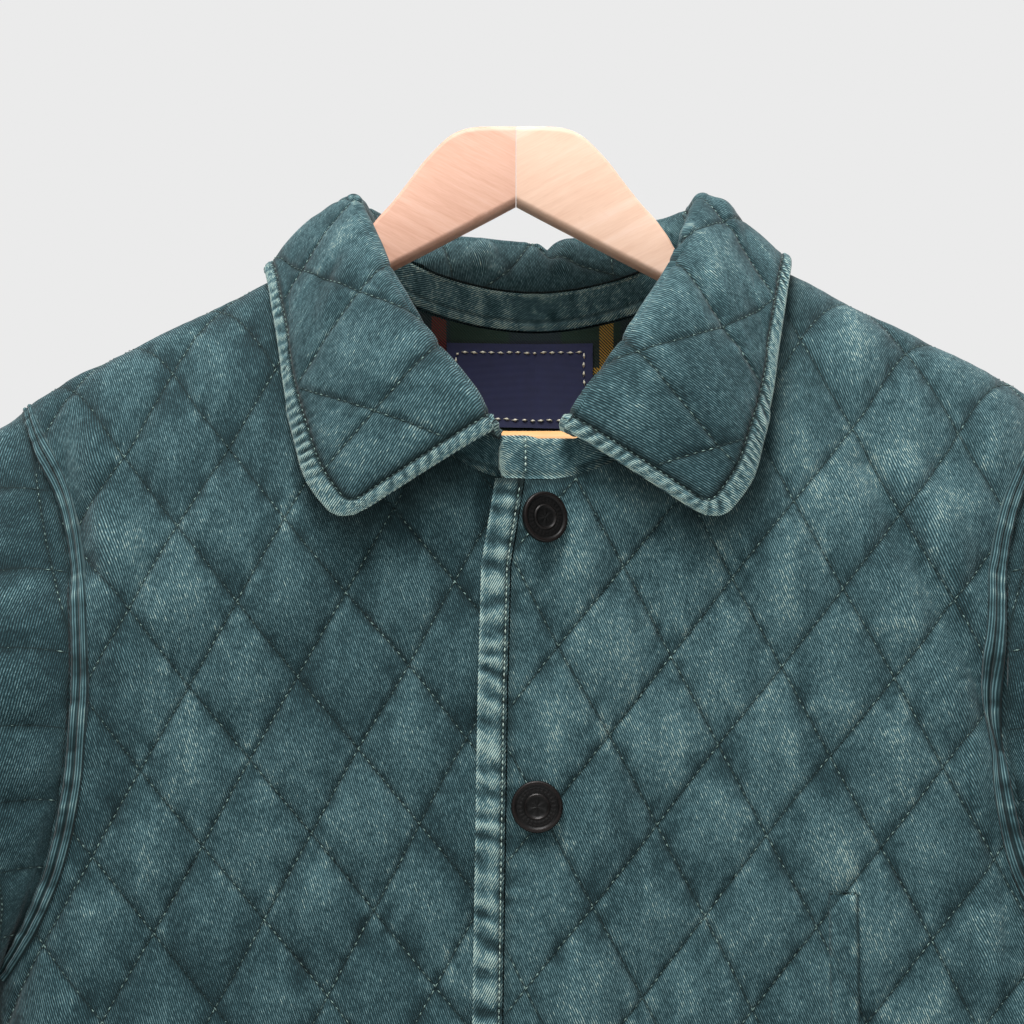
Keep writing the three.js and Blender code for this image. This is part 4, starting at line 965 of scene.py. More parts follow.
def makeSleeve(side):
    # a tube from the armhole to the cuff, closed along the underarm seam
    angle = np.linspace(-math.pi, math.pi, sleeve["columns"]) * (1 - 1e-6)
    t = np.linspace(0, 1, sleeve["rows"])[:, None]
    cap = -(sleeveLength - sleeveTube - capLength(angle))[None, :]
    c = cap + (-sleeveLength - cap) * t
    a = angle[None, :] / math.pi * sleeveHalf(-c)
    form = foldedSleeve(side)
    inner = form(a, c)
    normal = normalsOf(form, a, c, -1)
    front, behind = armholePlace(np.abs(angle) / math.pi, -1), armholePlace(np.abs(angle) / math.pi, 1)
    atHole = np.where((angle > 0)[:, None], normalsOf(bodyOnSide(side, -1), front[:, 0], front[:, 1], 1),
                      normalsOf(bodyOnSide(side, 1), behind[:, 0], behind[:, 1], -1))
    blend = smooth((cap - c) / 12)[..., None]
    normal = unit(atHole[None] * (1 - blend) + normal * blend)
    fromSeam = np.minimum(cap - c, c + sleeveLength)
    under = sleeveHalf(-c) - np.abs(a)
    distance = np.minimum(fromSeam, under)

    height, worn = faded(quiltSleeve, a, c, distance, a, c)
    outer = inner + normal * (wall + height)[..., None]
    mirror = np.array([side, 1, 1])
    name = "sleeve_left" if side > 0 else "sleeve_right"
    grid = np.stack([a, c], -1)
    around = np.linalg.norm(np.diff(inner, axis=1), axis=-1).sum(1) / (a[:, -1] - a[:, 0])
    maps = {"cloth": grid * np.stack([around, np.ones_like(around)], -1)[:, None] * 0.001,
            "stitches": np.stack(diamonds(quiltSleeve, a, c), -1)}
    # painted shade along the sleeve's seams
    deep = quiltWearAndPaintedLight["seamDeep"] * bump(distance / quiltWearAndPaintedLight["seamHalf"])
    values = {"worn": worn, "deep": deep, "sewn": np.ones_like(worn)}
    walls = [shifted(points * mirror) for points in (outer, inner)]
    made = wallMesh(name + "_cloth", *walls, maps, values, wallStep, side)
    dress(made, sleeveTwill, name, "quilted_cloth")
    down = np.linspace(0, sleeveLength, 50)
    area = float(np.trapz(2 * sleeveHalf(down), down)) - float(np.trapz(-cap[0], a[0]))

    def surface(aa, cc):
        ang = math.pi * aa / sleeveHalf(-cc)
        hole = -(sleeveLength - sleeveTube - capLength(ang))
        far = np.minimum(np.minimum(hole - cc, cc + sleeveLength), sleeveHalf(-cc) - np.abs(aa))
        thick = wall + faded(quiltSleeve, aa, cc, far, aa, cc)[0]
        return form(aa, cc) + normalsOf(form, aa, cc, -1) * thick[..., None]

    def keep(aa, cc):
        within = (np.abs(aa) < sleeveHalf(-cc) - 2) & (cc > -sleeveLength + 2)
        ang = np.clip(math.pi * aa / sleeveHalf(-cc), -math.pi, math.pi)
        return within & (cc < -(sleeveLength - sleeveTube - capLength(ang)) - 3)

    starts, ends, normals = lineStitches(surface, quiltSleeve, keep)
    stitchMesh(name + "_stitches", shifted(starts * mirror), shifted(ends * mirror), -normals * mirror, stitch,
               quiltThread)
    print(name, "made")


for side in (1, -1):
    makeSleeve(side)

# Collar form, as in the solids, on stations from the right front corner round the back to the left one.
# Columns: place round the neck as a share of its half width, fold x y z, leaf edge x z, its lift, the bulge

collarHalf = np.array([
    [0.19, 16.5, -66, -166, 88, -211, 9, 3], [0.435, 34, -61, -140, 103, -192, 8, 7],
    [0.641, 50, -54, -117, 109, -172, 7, 9], [0.804, 65, -44, -92, 115, -148, 5, 8],
    [0.913, 77, -30, -67, 119, -122, 4, 5], [0.978, 85, -15, -46, 123, -100, 3.5, 3],
    [1, 88, 0, -37, 126, -82.3, 3.5, 3], [0.957, 84, 18, -38, 123, -102, 3.5, 4],
    [0.826, 70, 33, -42, 108, -118, 3.5, 8], [0.609, 50, 42, -46, 80, -126, 4, 8],
    [0.315, 25, 47, -48, 40, -129, 4, 8], [0, 0, 48, -49, 0, -130, 4, 8],
])
collar = {"shift": -4, "height": 80, "corner": 14, "wall": 2.4, "roll": 1.6, "rollFlat": 4, "clear": 9,
          "ridgeRow": 6, "bow": 2.6, "inwardBow": 0.35, "puff": 1.3, "rim": 8.6, "rimPitch": 5.4, "rimRise": 0.8,
          "rimRipple": 0.55, "twillBend": 9.5, "bendRun": 90, "dipAt": 14, "dip": 5, "columns": 561, "rows": 129,
          "cornerSteps": 13}
tape = {"height": 15.5, "wall": 2.2, "inset": 0.8, "lap": 36, "sideRise": 2, "gap": 3.1, "lean": 0.22}
foldsCollar = np.array([
    [-40, 24, -26, 2, 9, 2.2], [14, 26, 34, 2, 9, 2.4], [-84, 30, -60, 2, 10, -2], [70, 28, 96, 4, 11, 2],
    [118, -4, 142, -38, 12, -2.6], [146, -8, 168, -36, 10, 1.8], [-128, -4, -146, -34, 12, -2.2],
    [-196, -10, -214, -50, 12, 1.6], [206, -12, 226, -52, 12, -1.6],
])


def clearOfBody(p, gap):
    # points inside the shoulder's oval section, grown by the gap, are scaled out to it
    x, y, z = p[..., 0], p[..., 1], p[..., 2]
    top = ridgeHeight(x)
    middleY = -ridge["forward"] * (x / ridge["forwardAt"]) ** 2
    before = y < middleY
    grow = np.where(before, ridge["growFront"], ridge["growBack"])
    lap = np.where(before & (x > -overlap["underReach"]), overlapLift(x), 0)
    reach = ridge["reach"] + grow * smooth((top - z) / ridge["growRun"]) + gap + lap
    over = np.maximum(0, z - top + ridge["drop"])
    share = np.minimum(1, np.maximum(1e-3, np.hypot((y - middleY) / reach, over / (ridge["drop"] + gap))))
    return vec(x, middleY + (y - middleY) / share, z - over + over / share)


def makeStations():
    # fold, leaf edge and neck seam of each station
    middle = len(collarHalf) - 1
    order = np.concatenate([np.arange(middle + 1), np.arange(middle - 1, -1, -1)])
    side = np.where(np.arange(len(order)) <= middle, -1.0, 1.0)
    share, foldX, foldY, foldZ, edgeX, edgeZ, lift, bulge = collarHalf[order].T
    behind = order > collar["ridgeRow"]
    pick = lambda place, front, back: np.where(behind[:, None], back(*place.T), front(*place.T))
    edgePlace = flatPlace(edgeX, edgeZ)
    normal = pick(edgePlace, lambda a, c: normalsOf(rightFrontPoint, a, c, 1),
                  lambda a, c: normalsOf(backPoint, a, c, -1))
    edge = pick(edgePlace, rightFrontPoint, backPoint) + normal * (wall + lift)[:, None]
    neckX = share * neck["halfWidth"]
    neckHeight = np.where(behind, neckBackHeight(neckX), neckFrontHeight(neckX))
    seam = pick(flatPlace(neckX, neckHeight), rightFrontPoint, backPoint)
    lap = np.where((side > 0) & ~behind, overlapLift(seam[:, 0]), 0)
    return {"fold": vec(side * foldX + collar["shift"], foldY, foldZ),
            "edge": vec(side * edge[:, 0] + collar["shift"], edge[:, 1], edge[:, 2]),
            "seam": vec(side * seam[:, 0], seam[:, 1] - lap, seam[:, 2]), "bulge": bulge[:, None]}


stations = makeStations()
stationMiddles = (stations["fold"] + stations["edge"]) / 2
collarAlong = np.concatenate([[0], np.cumsum(np.linalg.norm(np.diff(stationMiddles, axis=0), axis=1))])
collarReach = float(collarAlong[len(collarHalf) - 1])


def stationAt(a):
    # distance along the collar to a fractional station
    return np.interp(np.clip(a + collarReach, 0, 2 * collarReach), collarAlong, np.arange(len(collarAlong)))


def tapeFrame(at):
    # neck seam, the way in and the way up; the band leans in behind and at the sides
    middle = len(collarHalf) - 1
    seam = through(stations["seam"], at)
    around = math.pi * np.abs(at - middle) / middle
    inward = unit(-seam * [1, 2, 0])
    lean = tape["lean"] * smooth((np.cos(around) + 1) * 0.75)
    return seam, inward, unit(np.array([0, 0, 1]) + inward * lean[..., None])


def tapeTop(at):
    # where the collar starts: up the neck band from its seam, by its height and the gap
    seam, inward, up = tapeFrame(at)
    rise = tape["sideRise"] * np.maximum(0, 1 - np.abs(seam[..., 1] / 25))
    return seam + inward * tape["inset"] + up * (tape["height"] + tape["gap"] + rise)[..., None]


def collarRise(at):
    # distance from the neck band's top to the fold, at least 6 mm
    return np.maximum(6, np.linalg.norm(through(stations["fold"], at) - tapeTop(at), axis=-1))


def plainCollar(a, c):
    # c over 0: straight from the roll down to the neck band. c under 0: from the roll to the leaf's edge, bowed
    # out by the bulge times the root of t times (1 - t). The roll turns by the sine and cosine of c
    at = stationAt(a)
    fold, edge = through(stations["fold"], at), through(stations["edge"], at)
    rolled = np.clip(c / collar["rollFlat"], -1, 1)[..., None] * math.pi / 2
    outward = unit((fold - [collar["shift"], 0, 0]) * [1, 2, 0])
    start = fold - outward * collar["roll"] * np.sin(rolled)
    start = start + np.array([0, 0, collar["roll"]]) * (np.cos(rolled) - 1)
    rise = collarRise(at)[..., None]
    t = np.clip((c[..., None] - collar["rollFlat"]) / np.maximum(1, rise - collar["rollFlat"]), 0, 1)
    inward = unit(-fold * [1, 2, 0])
    inner = start + (tapeTop(at) - start) * t + inward * collar["inwardBow"] * rise * t * (1 - t)
    t = np.clip((-c[..., None] - collar["rollFlat"]) / (collar["height"] - collar["rollFlat"]), 0, 1)
    ahead = through(stations["fold"] + stations["edge"], at + 0.05)
    along = ahead - through(stations["fold"] + stations["edge"], at - 0.05)
    out = unit(np.cross(along, edge - fold))
    bow = collar["bow"] * through(stations["bulge"], at) * np.sqrt(t) * (1 - t)
    leaf = clearOfBody(start + (edge - fold) * t + out * bow, collar["clear"])
    return np.where(c[..., None] >= 0, inner, leaf)


def collarPoint(a, c):
    # the plain form with its soft folds, and a dip in the roll behind the neck
    a, c = np.broadcast_arrays(np.asarray(a, float), np.asarray(c, float))
    point = plainCollar(a, c)
    point[..., 2] -= collar["dip"] * bump((a - collar["dipAt"]) / 6) * bump(c / 12)
    folds = foldHeight(foldsCollar, a, c)[..., None]
    return point + normalsOf(plainCollar, a, c, -1) * folds


def roundedEdge(inset, top):
    # line round the leaf at an inset: down one end, round the corners and along the falling edge
    half, low = collarReach - inset, collar["height"] - inset
    r = collar["corner"] - inset
    turns = np.linspace(0, math.pi / 2, 9)
    corner = np.stack([half - r + r * np.cos(turns), -(low - r) - r * np.sin(turns)], -1)
    right = np.concatenate([[[half, top]], corner])
    return np.concatenate([right * [-1, 1], right[::-1]])


collarEdge = roundedEdge(0, 4)


rimLook = {"fade": 12, "rimEdge": 1.3, "crown": 2.4, "groove": 0.9, "puckerReach": 5, "seamReach": 4,
           "worn": 0.62, "rippleWearAndHighlight": 0.42, "wornEdge": 0.55, "deep": 0.8, "dents": 0.9, "seed": 71}


def rimRipple(along, distance):
    # a sine along the leaf's edge that leans and swells by slow noises, with a finer noise added
    lean = along / collar["rimPitch"] + 0.07 * distance + 0.6 * noise(along / 11, 0 * along, rimLook["seed"])
    ripple = np.sin(2 * math.pi * lean) * (0.75 + 0.4 * noise(along / 17, 0 * along, rimLook["seed"] + 3))
    return ripple + 0.4 * noise(along / 1.9, distance / 3, rimLook["seed"] + 1)


def collarRelief(a, c):
    # quilting faded towards the rim and the neck, a rim rounded by a root and rippled, and a bell for the groove
    # of the topstitch between them
    distance, along = lineDistance(a, c, collarEdge)
    past = distance - collar["rim"]
    fromSeam = collarRise(stationAt(a)) - c
    relief, worn = quiltRelief(quiltCollar, a, c, collar["puff"])
    inside = smooth(past / rimLook["fade"]) * smooth(fromSeam / rimLook["fade"])
    ripple = rimRipple(along, distance)
    rim = smooth(-past / rimLook["rimEdge"])
    crown = np.sqrt(np.clip(distance / rimLook["crown"], 0, 1))
    near = np.exp(-np.maximum(0, past) / rimLook["puckerReach"]) * (1 - rim)
    seam = np.exp(-np.maximum(0, fromSeam) / rimLook["seamReach"])
    calm = quilting["seamCalm"]
    height = relief * (calm + (1 - calm) * inside) * (1 - rim)
    height = height + rim * crown * (collar["rimRise"] + collar["rimRipple"] * ripple)
    height = height - bump(past / rimLook["groove"]) + 0.35 * near * ripple
    height = height + 0.3 * seam * noise(a / 3, 0 * a, rimLook["seed"] + 2)
    # the rim is pale with wear, with painted highlights on its rolls and a worn edge line
    edge = rimLook["worn"] + rimLook["rippleWearAndHighlight"] * ripple + rimLook["wornEdge"] * bump(distance / 1.1)
    worn = worn * (0.35 + 0.65 * inside) * (1 - rim) + rim * edge
    # painted shade: the topstitch groove and beside it, the dents between the rim's rolls, and along the neck
    # seam
    dents = np.clip(-ripple - 0.3, 0, 1) * smooth((distance - 1.2) / 3.5)
    deep = rimLook["deep"] * bump(past) + 0.5 * bump((past - 1.8) / 1.8) + rim * dents * rimLook["dents"]
    deep = deep + 0.4 * bump(fromSeam / 3)
    return collar["wall"] + np.maximum(height, quilting["deepest"]), worn, np.clip(deep, 0, 1), distance


def collarSurface(a, c):
    # the form's point plus its normal times the wall and relief
    return collarPoint(a, c) + normalsOf(collarPoint, a, c, -1) * collarRelief(a, c)[0][..., None]


def makeCollar():
    # one wall from the neck band over the roll to the leaf's rounded corners
    half, r, height = collarReach, collar["corner"], collar["height"]
    corner = half - r + r * np.sin(np.linspace(0, math.pi / 2, collar["cornerSteps"])[1:])
    straight = np.linspace(-(half - r), half - r, collar["columns"] - 2 * len(corner))
    a = np.concatenate([-corner[::-1], straight, corner])
    low = -height + r - np.sqrt(np.maximum(0, r ** 2 - np.maximum(0, np.abs(a) - (half - r)) ** 2))
    t = np.linspace(0, 1, collar["rows"])[:, None]
    top = collarRise(stationAt(a))
    c = low + (top - low) * t
    a = np.broadcast_to(a, c.shape)
    inner = collarPoint(a, c)
    thick, worn, deep, distance = collarRelief(a, c)
    outer = inner + normalsOf(collarPoint, a, c, -1) * thick[..., None]
    turn = np.radians(collar["twillBend"]) * np.tanh(a / collar["bendRun"])
    cloth = np.stack([a * np.cos(turn) + c * np.sin(turn), c * np.cos(turn) - a * np.sin(turn)], -1) * 0.001
    maps = {"cloth": cloth, "stitches": np.stack(diamonds(quiltCollar, a, c), -1)}
    values = {"worn": worn, "deep": deep, "sewn": smooth((distance - collar["rim"]) / 1.5)}
    made = wallMesh("collar_cloth", shifted(outer), shifted(inner), maps, values, wallStep, -1)
    dress(made, collarTwill, "collar", "quilted_cloth")
    outline = np.concatenate([collarEdge, np.array([[half, 60], [-half, 60]])])
    keep = lambda x, y: (insideLine(x, y, outline) & (lineDistance(x, y, collarEdge)[0] > collar["rim"] + 1)
                         & (y < collarRise(stationAt(x)) - 2))
    starts, ends, normals = lineStitches(collarSurface, quiltCollar, keep)
    stitchMesh("collar_stitches", shifted(starts), shifted(ends), -normals, stitch, quiltThread)
    rim = pathStitches(collarSurface, roundedEdge(collar["rim"], 2), rimStitch, -1)
    stitchMesh("collar_topstitch", *rim, rimStitch, quiltThread)
    print("collar made,", len(made.data.polygons), "faces")


def forward(count):
    # normals that all point to the front
    return np.tile([0.0, -1, 0], (count, 1))


rimStitch = {"pitch": 2.9, "length": 2.1, "width": 0.7, "lift": 0.3, "rise": 0.2}
topStitch = {"pitch": 2.9, "length": 2.75, "width": 0.95, "lift": 0.62, "rise": 0.1}


def pathStitches(surface, path, size, turn):
    # evenly spaced stitches along a line in the flat: their starts, ends and normals, in place
    total = float(np.hypot(*np.diff(path, axis=0).T).sum())
    first = np.arange(1, total - size["length"] - 1, size["pitch"])
    at = lambda s: alongLine(path, s / total).T
    middle = at(first + size["length"] / 2)
    return (shifted(surface(*at(first))), shifted(surface(*at(first + size["length"]))),
            normalsOf(surface, *middle, 1) * turn)


makeCollar()

# Neck band

bandLook = {"steps": 520, "rows": 19, "top": 17.9, "low": -1.5, "ripple": 0.35, "round": 5, "roundShare": 0.5,
            "endRise": 0.16, "rollAt": 1.4, "grooveAt": 3.4, "grooveHalf": 0.8, "stitchDown": 1.4}


def bandPoint(s, t, out):
    # just inside the neck seam, t up and out towards the neck; past the collar's ends it runs straight on
    past = s - np.clip(s, -collarReach, collarReach)
    seam, inward, up = tapeFrame(stationAt(s))
    low = seam + inward * tape["inset"] - vec(past, 0, 0)
    low[..., 2] += tape["sideRise"] * np.maximum(0, 1 - np.abs(low[..., 1] / 25))
    middle = bandLook["top"] / 2
    near = np.clip((s - tabEnd) / bandLook["round"] + 1, 0, 1)
    t = middle + (t - middle) * (1 - bandLook["roundShare"] * (1 - np.sqrt(1 - near ** 2)))
    rise = smooth((14 - s - collarReach) / 8) * smooth((s + collarReach + 24) / 12)
    t = t * (1 + bandLook["endRise"] * rise)
    return low + up * t[..., None] + inward * out[..., None]


def bandWrinkle(s, t, seed):
    # a wide noise and a finer, slanting one
    return noise(s / 5.5, t / 9, seed) + 0.6 * noise(s / 2.4 + t * 0.2, t / 6, seed + 1)


def bandInside(s, t):
    # inner face: a rolled lower edge, a groove above it, soft wrinkles
    groove = 0.5 * bump((t - bandLook["grooveAt"]) / bandLook["grooveHalf"])
    roll = 0.9 * bump((t - bandLook["rollAt"]) / 1.5) - groove
    edge = 0.8 * bump((t - bandLook["top"]) / 1.5)
    return tape["wall"] + roll + bandLook["ripple"] * bandWrinkle(s, t, 81) - edge


def bandOutside(s, t):
    # outer face: rounded edges and soft wrinkles, outwards of the seam
    edge = 0.7 * (bump(t / 1.2) + bump((t - bandLook["top"]) / 1.2))
    return edge - 0.25 - 0.35 * np.maximum(0, bandWrinkle(s, t, 83)) + 0.6 * bump((s - tabStitchAt) / 0.9)


tabEnd = collarReach + tape["lap"]
tabStitchAt = collarReach + 23.5


def bandWorn(s, t):
    # wrinkles, both long edges and the tab's end
    edges = 0.35 * bump(t / 1.6) + 0.45 * bump((t - bandLook["top"]) / 1.3)
    return 0.28 + 0.3 * bandWrinkle(s, t, 85) + edges + 0.9 * bump((s - tabEnd) / 2.2)


def bandPaintedShade(s, t):
    # painted shade: the groove inside the collar, and both sides of the tab's stitches
    groove = 0.75 * bump((t - bandLook["grooveAt"]) / bandLook["grooveHalf"]) * (np.abs(s) < collarReach)
    off = s - tabStitchAt
    return groove + 0.6 * bump(off / 1.3) * (1 - bump(off / 0.4))


def makeBand():
    # a strap from tab to tab round the neck, with one row of stitches inside and one across the tab
    along = np.linspace(-tabEnd, tabEnd, bandLook["steps"])
    across = np.linspace(bandLook["low"], bandLook["top"], bandLook["rows"])
    spot = lambda s, t, out: shifted(bandPoint(s, t, out))
    made = strapMesh("neck_band_cloth", spot, along, across, bandInside, bandOutside,
                     {"worn": bandWorn, "deep": bandPaintedShade})
    dress(made, bandTwill, "neck_band", "plain_cloth")
    inside = lambda s, t: spot(s, t, bandInside(s, t))
    s = np.arange(-collarReach, collarReach, rimStitch["pitch"])
    up = np.full_like(s, bandLook["top"] - bandLook["stitchDown"])
    stitchMesh("neck_band_stitches", inside(s, up), inside(s + 2.3, up), tapeFrame(stationAt(s))[1], rimStitch,
               topThread, "plain_cloth")
    outside = lambda s, t: spot(s, t, bandOutside(s, t))
    t = np.arange(1.2, bandLook["top"] - 2, tabStitch["pitch"])
    s = np.full_like(t, tabStitchAt)
    stitchMesh("tab_topstitch", outside(s, t), outside(s, t + tabStitch["length"]), -tapeFrame(stationAt(s))[1],
               tabStitch, topThread, "plain_cloth")
    print("neck band made")


tabStitch = {"pitch": 2.9, "length": 2.75, "width": 1.5, "lift": 0.9, "rise": 0}
makeBand()

# Front strip

stripLook = {"steps": 620, "rows": 17, "stitchAt": 12.1, "pucker": 0.589, "pitch": 12.6}


def stripPoint(s, t, out):
    # across from the left front's edge line, out from the overlapping front
    c = np.broadcast_to(s, np.shape(t)) if np.ndim(s) == 0 else s
    return shifted(leftFrontPoint(frontEdge(c) + t, c) - vec(0, out, 0))


def stripPucker(s, t):
    # uneven bands across, and finer slanting wrinkles
    bands = np.sin(2 * math.pi * (s / stripLook["pitch"] + 0.02 * t + 0.55 * noise(s / 19, t / 30, 91)))
    return 0.75 * bands + 0.5 * noise(s / 4.5, t / 9, 93) + 0.4 * noise(s / 2.3 + 0.3 * t, t / 7, 92)


def stripFace(s, t):
    # rounded at its free edge, lower past the middle, puckered, with a groove along the stitches
    crown = np.clip(t / 2.4, 0, 1) ** 0.5 - 0.5 * smooth((t - 9) / 4)
    groove = 0.8 * bump((t - stripLook["stitchAt"]) / 0.7)
    pucker = stripLook["pucker"] * stripPucker(s, t) * smooth((13 - t) / 2)
    return strip["wall"] - 0.9 + crown + pucker - groove


def stripPaintedShade(s, t):
    # painted shade: the stitches' groove, the dents between puckers and the seam's edge, and a painted shadow
    # under the tab at the strip's top
    dents = 0.6 * np.clip(-stripPucker(s, t) - 0.3, 0, 1)
    edges = 0.5 * bump((t - strip["width"]) / 0.8) + 0.9 * bump((s - neck["frontHeight"]) / 3.5)
    return 0.7 * bump(t - stripLook["stitchAt"]) + dents + edges


def makeStrip():
    # a strap up the left front's edge from the hem to the neck, with its row of stitches
    along = np.linspace(body["hem"], neck["frontHeight"] + 0.6, stripLook["steps"])
    across = np.linspace(0, strip["width"], stripLook["rows"])
    # paler on the pucker crests as painted highlights, with wear at the free edge and a paler band near the
    # middle
    worn = lambda s, t: 0.3 + 0.5 * stripPucker(s, t) + 0.6 * bump(t / 1.3) + 0.25 * bump((t - 8) / 3)
    made = strapMesh("front_strip_cloth", stripPoint, along, across, stripFace, lambda s, t: 0 * t,
                     {"worn": worn, "deep": stripPaintedShade})
    dress(made, stripTwill, "front_strip", "plain_cloth")
    s = np.arange(body["hem"] + 2, neck["frontHeight"] - 4, topStitch["pitch"])
    t = np.full_like(s, stripLook["stitchAt"])
    face = lambda s: stripPoint(s, t, stripFace(s, t))
    stitchMesh("front_strip_topstitch", face(s), face(s + topStitch["length"]), forward(len(s)), topStitch,
               topThread, "plain_cloth")
    print("front strip made")


stripTwill = twillLook("strip_twill", 152)
makeStrip()

# Armhole bands

band = {"width": 8, "inset": 1.8, "lift": 3.2, "under": 1.6, "sink": 1.6, "sinkRun": 0.16, "turnRun": 0.06,
        "share": 0.86, "power": 1.3, "steps": 400, "rows": 17, "measured": 400}


def armholeSpot(side):
    # beside the armhole line on the body's points, out along the body's normal
    def onFace(share, fromTop, across, out, face):
        form = bodyOnSide(side, face)
        place = armholePlace(share, face)
        run = armholePlace(share + 0.01, face) - armholePlace(np.maximum(0, share - 0.01), face)
        inwards = unit(np.stack([run[..., 1], -run[..., 0]], -1))
        top = unit(np.array([-1, ridge["slope"]]))
        inwards = unit(top * (1 - fromTop)[..., None] + inwards * fromTop[..., None])
        a = place[..., 0] + across * inwards[..., 0]
        flat = flatHalf(place[..., 1])
        x = np.minimum(a, flat) + body["turn"] * np.sin(np.maximum(0, a - flat) / body["turn"])
        highest = ridgeHeight(x) + ridge["arc"] - ridge["drop"] - 0.1
        c = np.minimum(place[..., 1] + across * inwards[..., 1], highest)
        return form(a, c) + normalsOf(form, a, c, -face) * out[..., None]

    def spot(s, across, out):
        share = band["share"] * np.abs(s) ** band["power"]
        fromTop = smooth(np.abs(s) / band["turnRun"])
        across = across + band["inset"]
        out = out - band["sink"] * (1 - smooth(np.abs(s) / band["sinkRun"]))
        point = np.where((s > 0)[..., None], onFace(share, fromTop, across, out, -1),
                         onFace(share, fromTop, across, out, 1))
        return shifted(point * [side, 1, 1])

    return spot


def bandPucker(s, t):
    # a noise along the band and a finer, slanting one
    return noise(s * 75, t / 14, 101) + 0.5 * noise(s * 190 + 0.3 * t, t / 5, 102)


def bandFace(s, t):
    # two rolls side by side with a crease between them, puckered
    rolls = np.abs(np.sin(2 * math.pi * t / band["width"])) ** 0.6
    return band["lift"] + 0.5 + 1.3 * rolls + 0.42 * bandPucker(s, t)


def armholePaintedShade(s, t):
    # painted shade: the crease, both edges and the dents between puckers
    dents = 0.4 * np.clip(-bandPucker(s, t) - 0.3, 0, 1)
    edges = 0.7 * bump(t / 0.7) + 0.6 * bump((t - band["width"]) / 0.7)
    return 0.75 * bump((t - band["width"] / 2) / 0.8) + edges + dents


def makeArmholeBand(side):
    # a strap from the back's underarm over the shoulder (s = 0) to the front's underarm
    name = "armhole_band_left" if side > 0 else "armhole_band_right"
    along = np.linspace(-1, 1, band["steps"])
    across = np.linspace(0, band["width"], band["rows"])
    # paler on the rolls' crests and the puckers as painted highlights, with wear
    worn = lambda s, t: 0.08 + 0.35 * bandPucker(s, t) + 0.22 * np.abs(np.sin(2 * math.pi * t / band["width"]))
    under = lambda s, t: 0 * t + band["lift"] - band["under"]
    spot = armholeSpot(side)
    made = strapMesh(name + "_cloth", spot, along, across, bandFace, under, {"worn": worn, "deep": armholePaintedShade})
    dress(made, bandTwill, name, "plain_cloth")
    s, t = np.linspace(-1, 1, band["measured"]), np.full(band["measured"], band["width"] / 2)
    length = float(np.linalg.norm(np.diff(spot(s, t, t * 0 + band["lift"]), axis=0), axis=1).sum())
    print(name, "made")


for side in (1, -1):
    makeArmholeBand(side)

# Chest pocket

pocket = {"x": 147, "width": 13, "top": -382, "length": 150, "wall": 1.3, "gap": 0.25, "steps": 200, "rows": 17,
          "tackPitch": 0.8, "tackHalf": 1.1, "tackIn": 0.8}
tackStitch = {"width": 0.9, "lift": 0.5, "rise": 0}


def makePocket():
    # the welt follows the quilting under it; its free edge, at the opening, is rounded and worn
    def spot(s, t, out):
        a = pocket["x"] - pocket["width"] + t
        return shifted(leftSurface(a, s) - vec(0, out, 0))

    def face(s, t):
        ripple = noise(s / 4.5, t / 8, 111)
        ends = smooth((pocket["top"] - s) / 2.5) * smooth((s - pocket["top"] + pocket["length"]) / 2.5)
        edge = np.clip(t / 2, 0, 1) ** 0.5
        thick = 0.15 + pocket["wall"] * edge * (0.3 + 0.7 * ends)
        return pocket["gap"] + thick + 0.3 * ripple * bump((t - 11) / 4)

    def worn(s, t):
        rim = 0.5 * bump((t - 11.5) / 1.8) * (0.6 + noise(s / 6, t / 9, 112))
        return 0.2 + rim + 0.2 * noise(s / 12, t / 6, 113)

    along = np.linspace(pocket["top"] - pocket["length"], pocket["top"], pocket["steps"])
    across = np.linspace(0, pocket["width"], pocket["rows"])
    # painted shade along both long edges of the welt
    deep = lambda s, t: 0.35 * bump(t / 1.2) + 0.85 * bump((t - pocket["width"]) / 1.2)
    made = strapMesh("pocket_welt_cloth", spot, along, across, face, lambda s, t: 0 * t + pocket["gap"],
                     {"worn": worn, "deep": deep})
    dress(made, weltTwill, "pocket_welt", "plain_cloth")
    t = np.arange(0.5, pocket["width"] + 1, pocket["tackPitch"])
    lean = 0.5 * np.sin(t * 5)
    half = pocket["tackHalf"]
    tacks = []
    for end in (pocket["top"] - pocket["tackIn"], pocket["top"] - pocket["length"] + pocket["tackIn"]):
        s = np.full_like(t, end)
        out = face(s, t)
        tacks.append((spot(s - half + lean, t, out), spot(s + half + lean, t + 0.3, out)))
    starts, ends = (np.concatenate([tack[k] for tack in tacks]) for k in (0, 1))
    stitchMesh("pocket_bar_tacks", starts, ends, forward(len(starts)), tackStitch, tackThread, "plain_cloth")
    print("chest pocket made")


weltTwill = twillLook("welt_twill", tone=-0.02)
tackThread = threadLook("tack_thread", "#12282a", "#2c4a4a")
makePocket()

# Buttons

# Each button's x, z, its distance before the left front, and its turn in degrees
buttonRows = [[2, -209, 8.5, 30], [-0.5, -343, 3.2, 0], [-3, -477, 2.95, 0], [-3, -611, 3.85, 0],
              [-3, -745, 2.4, 0]]
button = {"sides": 120, "ticks": 26, "tick": 0.22, "tickAt": 7.8, "tickHalf": 1.1, "faceFrom": 3, "lobes": 6,
          "rimAt": 11, "ringAt": 5.5}
# Radius and height from the back's middle round the rim to the face's middle
buttonProfile = np.array([
    [0.01, 0], [9.4, 0], [10.8, 0.6], [11.7, 1.4], [12, 2.2], [12, 3.2], [11.8, 3.8], [11.4, 4.15],
    [10.9, 4.2], [10.3, 4.1], [9.9, 3.8], [9.6, 3.45], [9.2, 3.35], [8.8, 3.5], [8.4, 3.5], [8.0, 3.35],
    [7.6, 3.5], [7.1, 3.5], [6.6, 3.4], [6.2, 3.3], [5.9, 3.7], [5.5, 3.9], [5.1, 3.7], [4.8, 3.3],
    [4.2, 3.15], [3, 3.1], [1.6, 3.15], [0.01, 3.2],
])


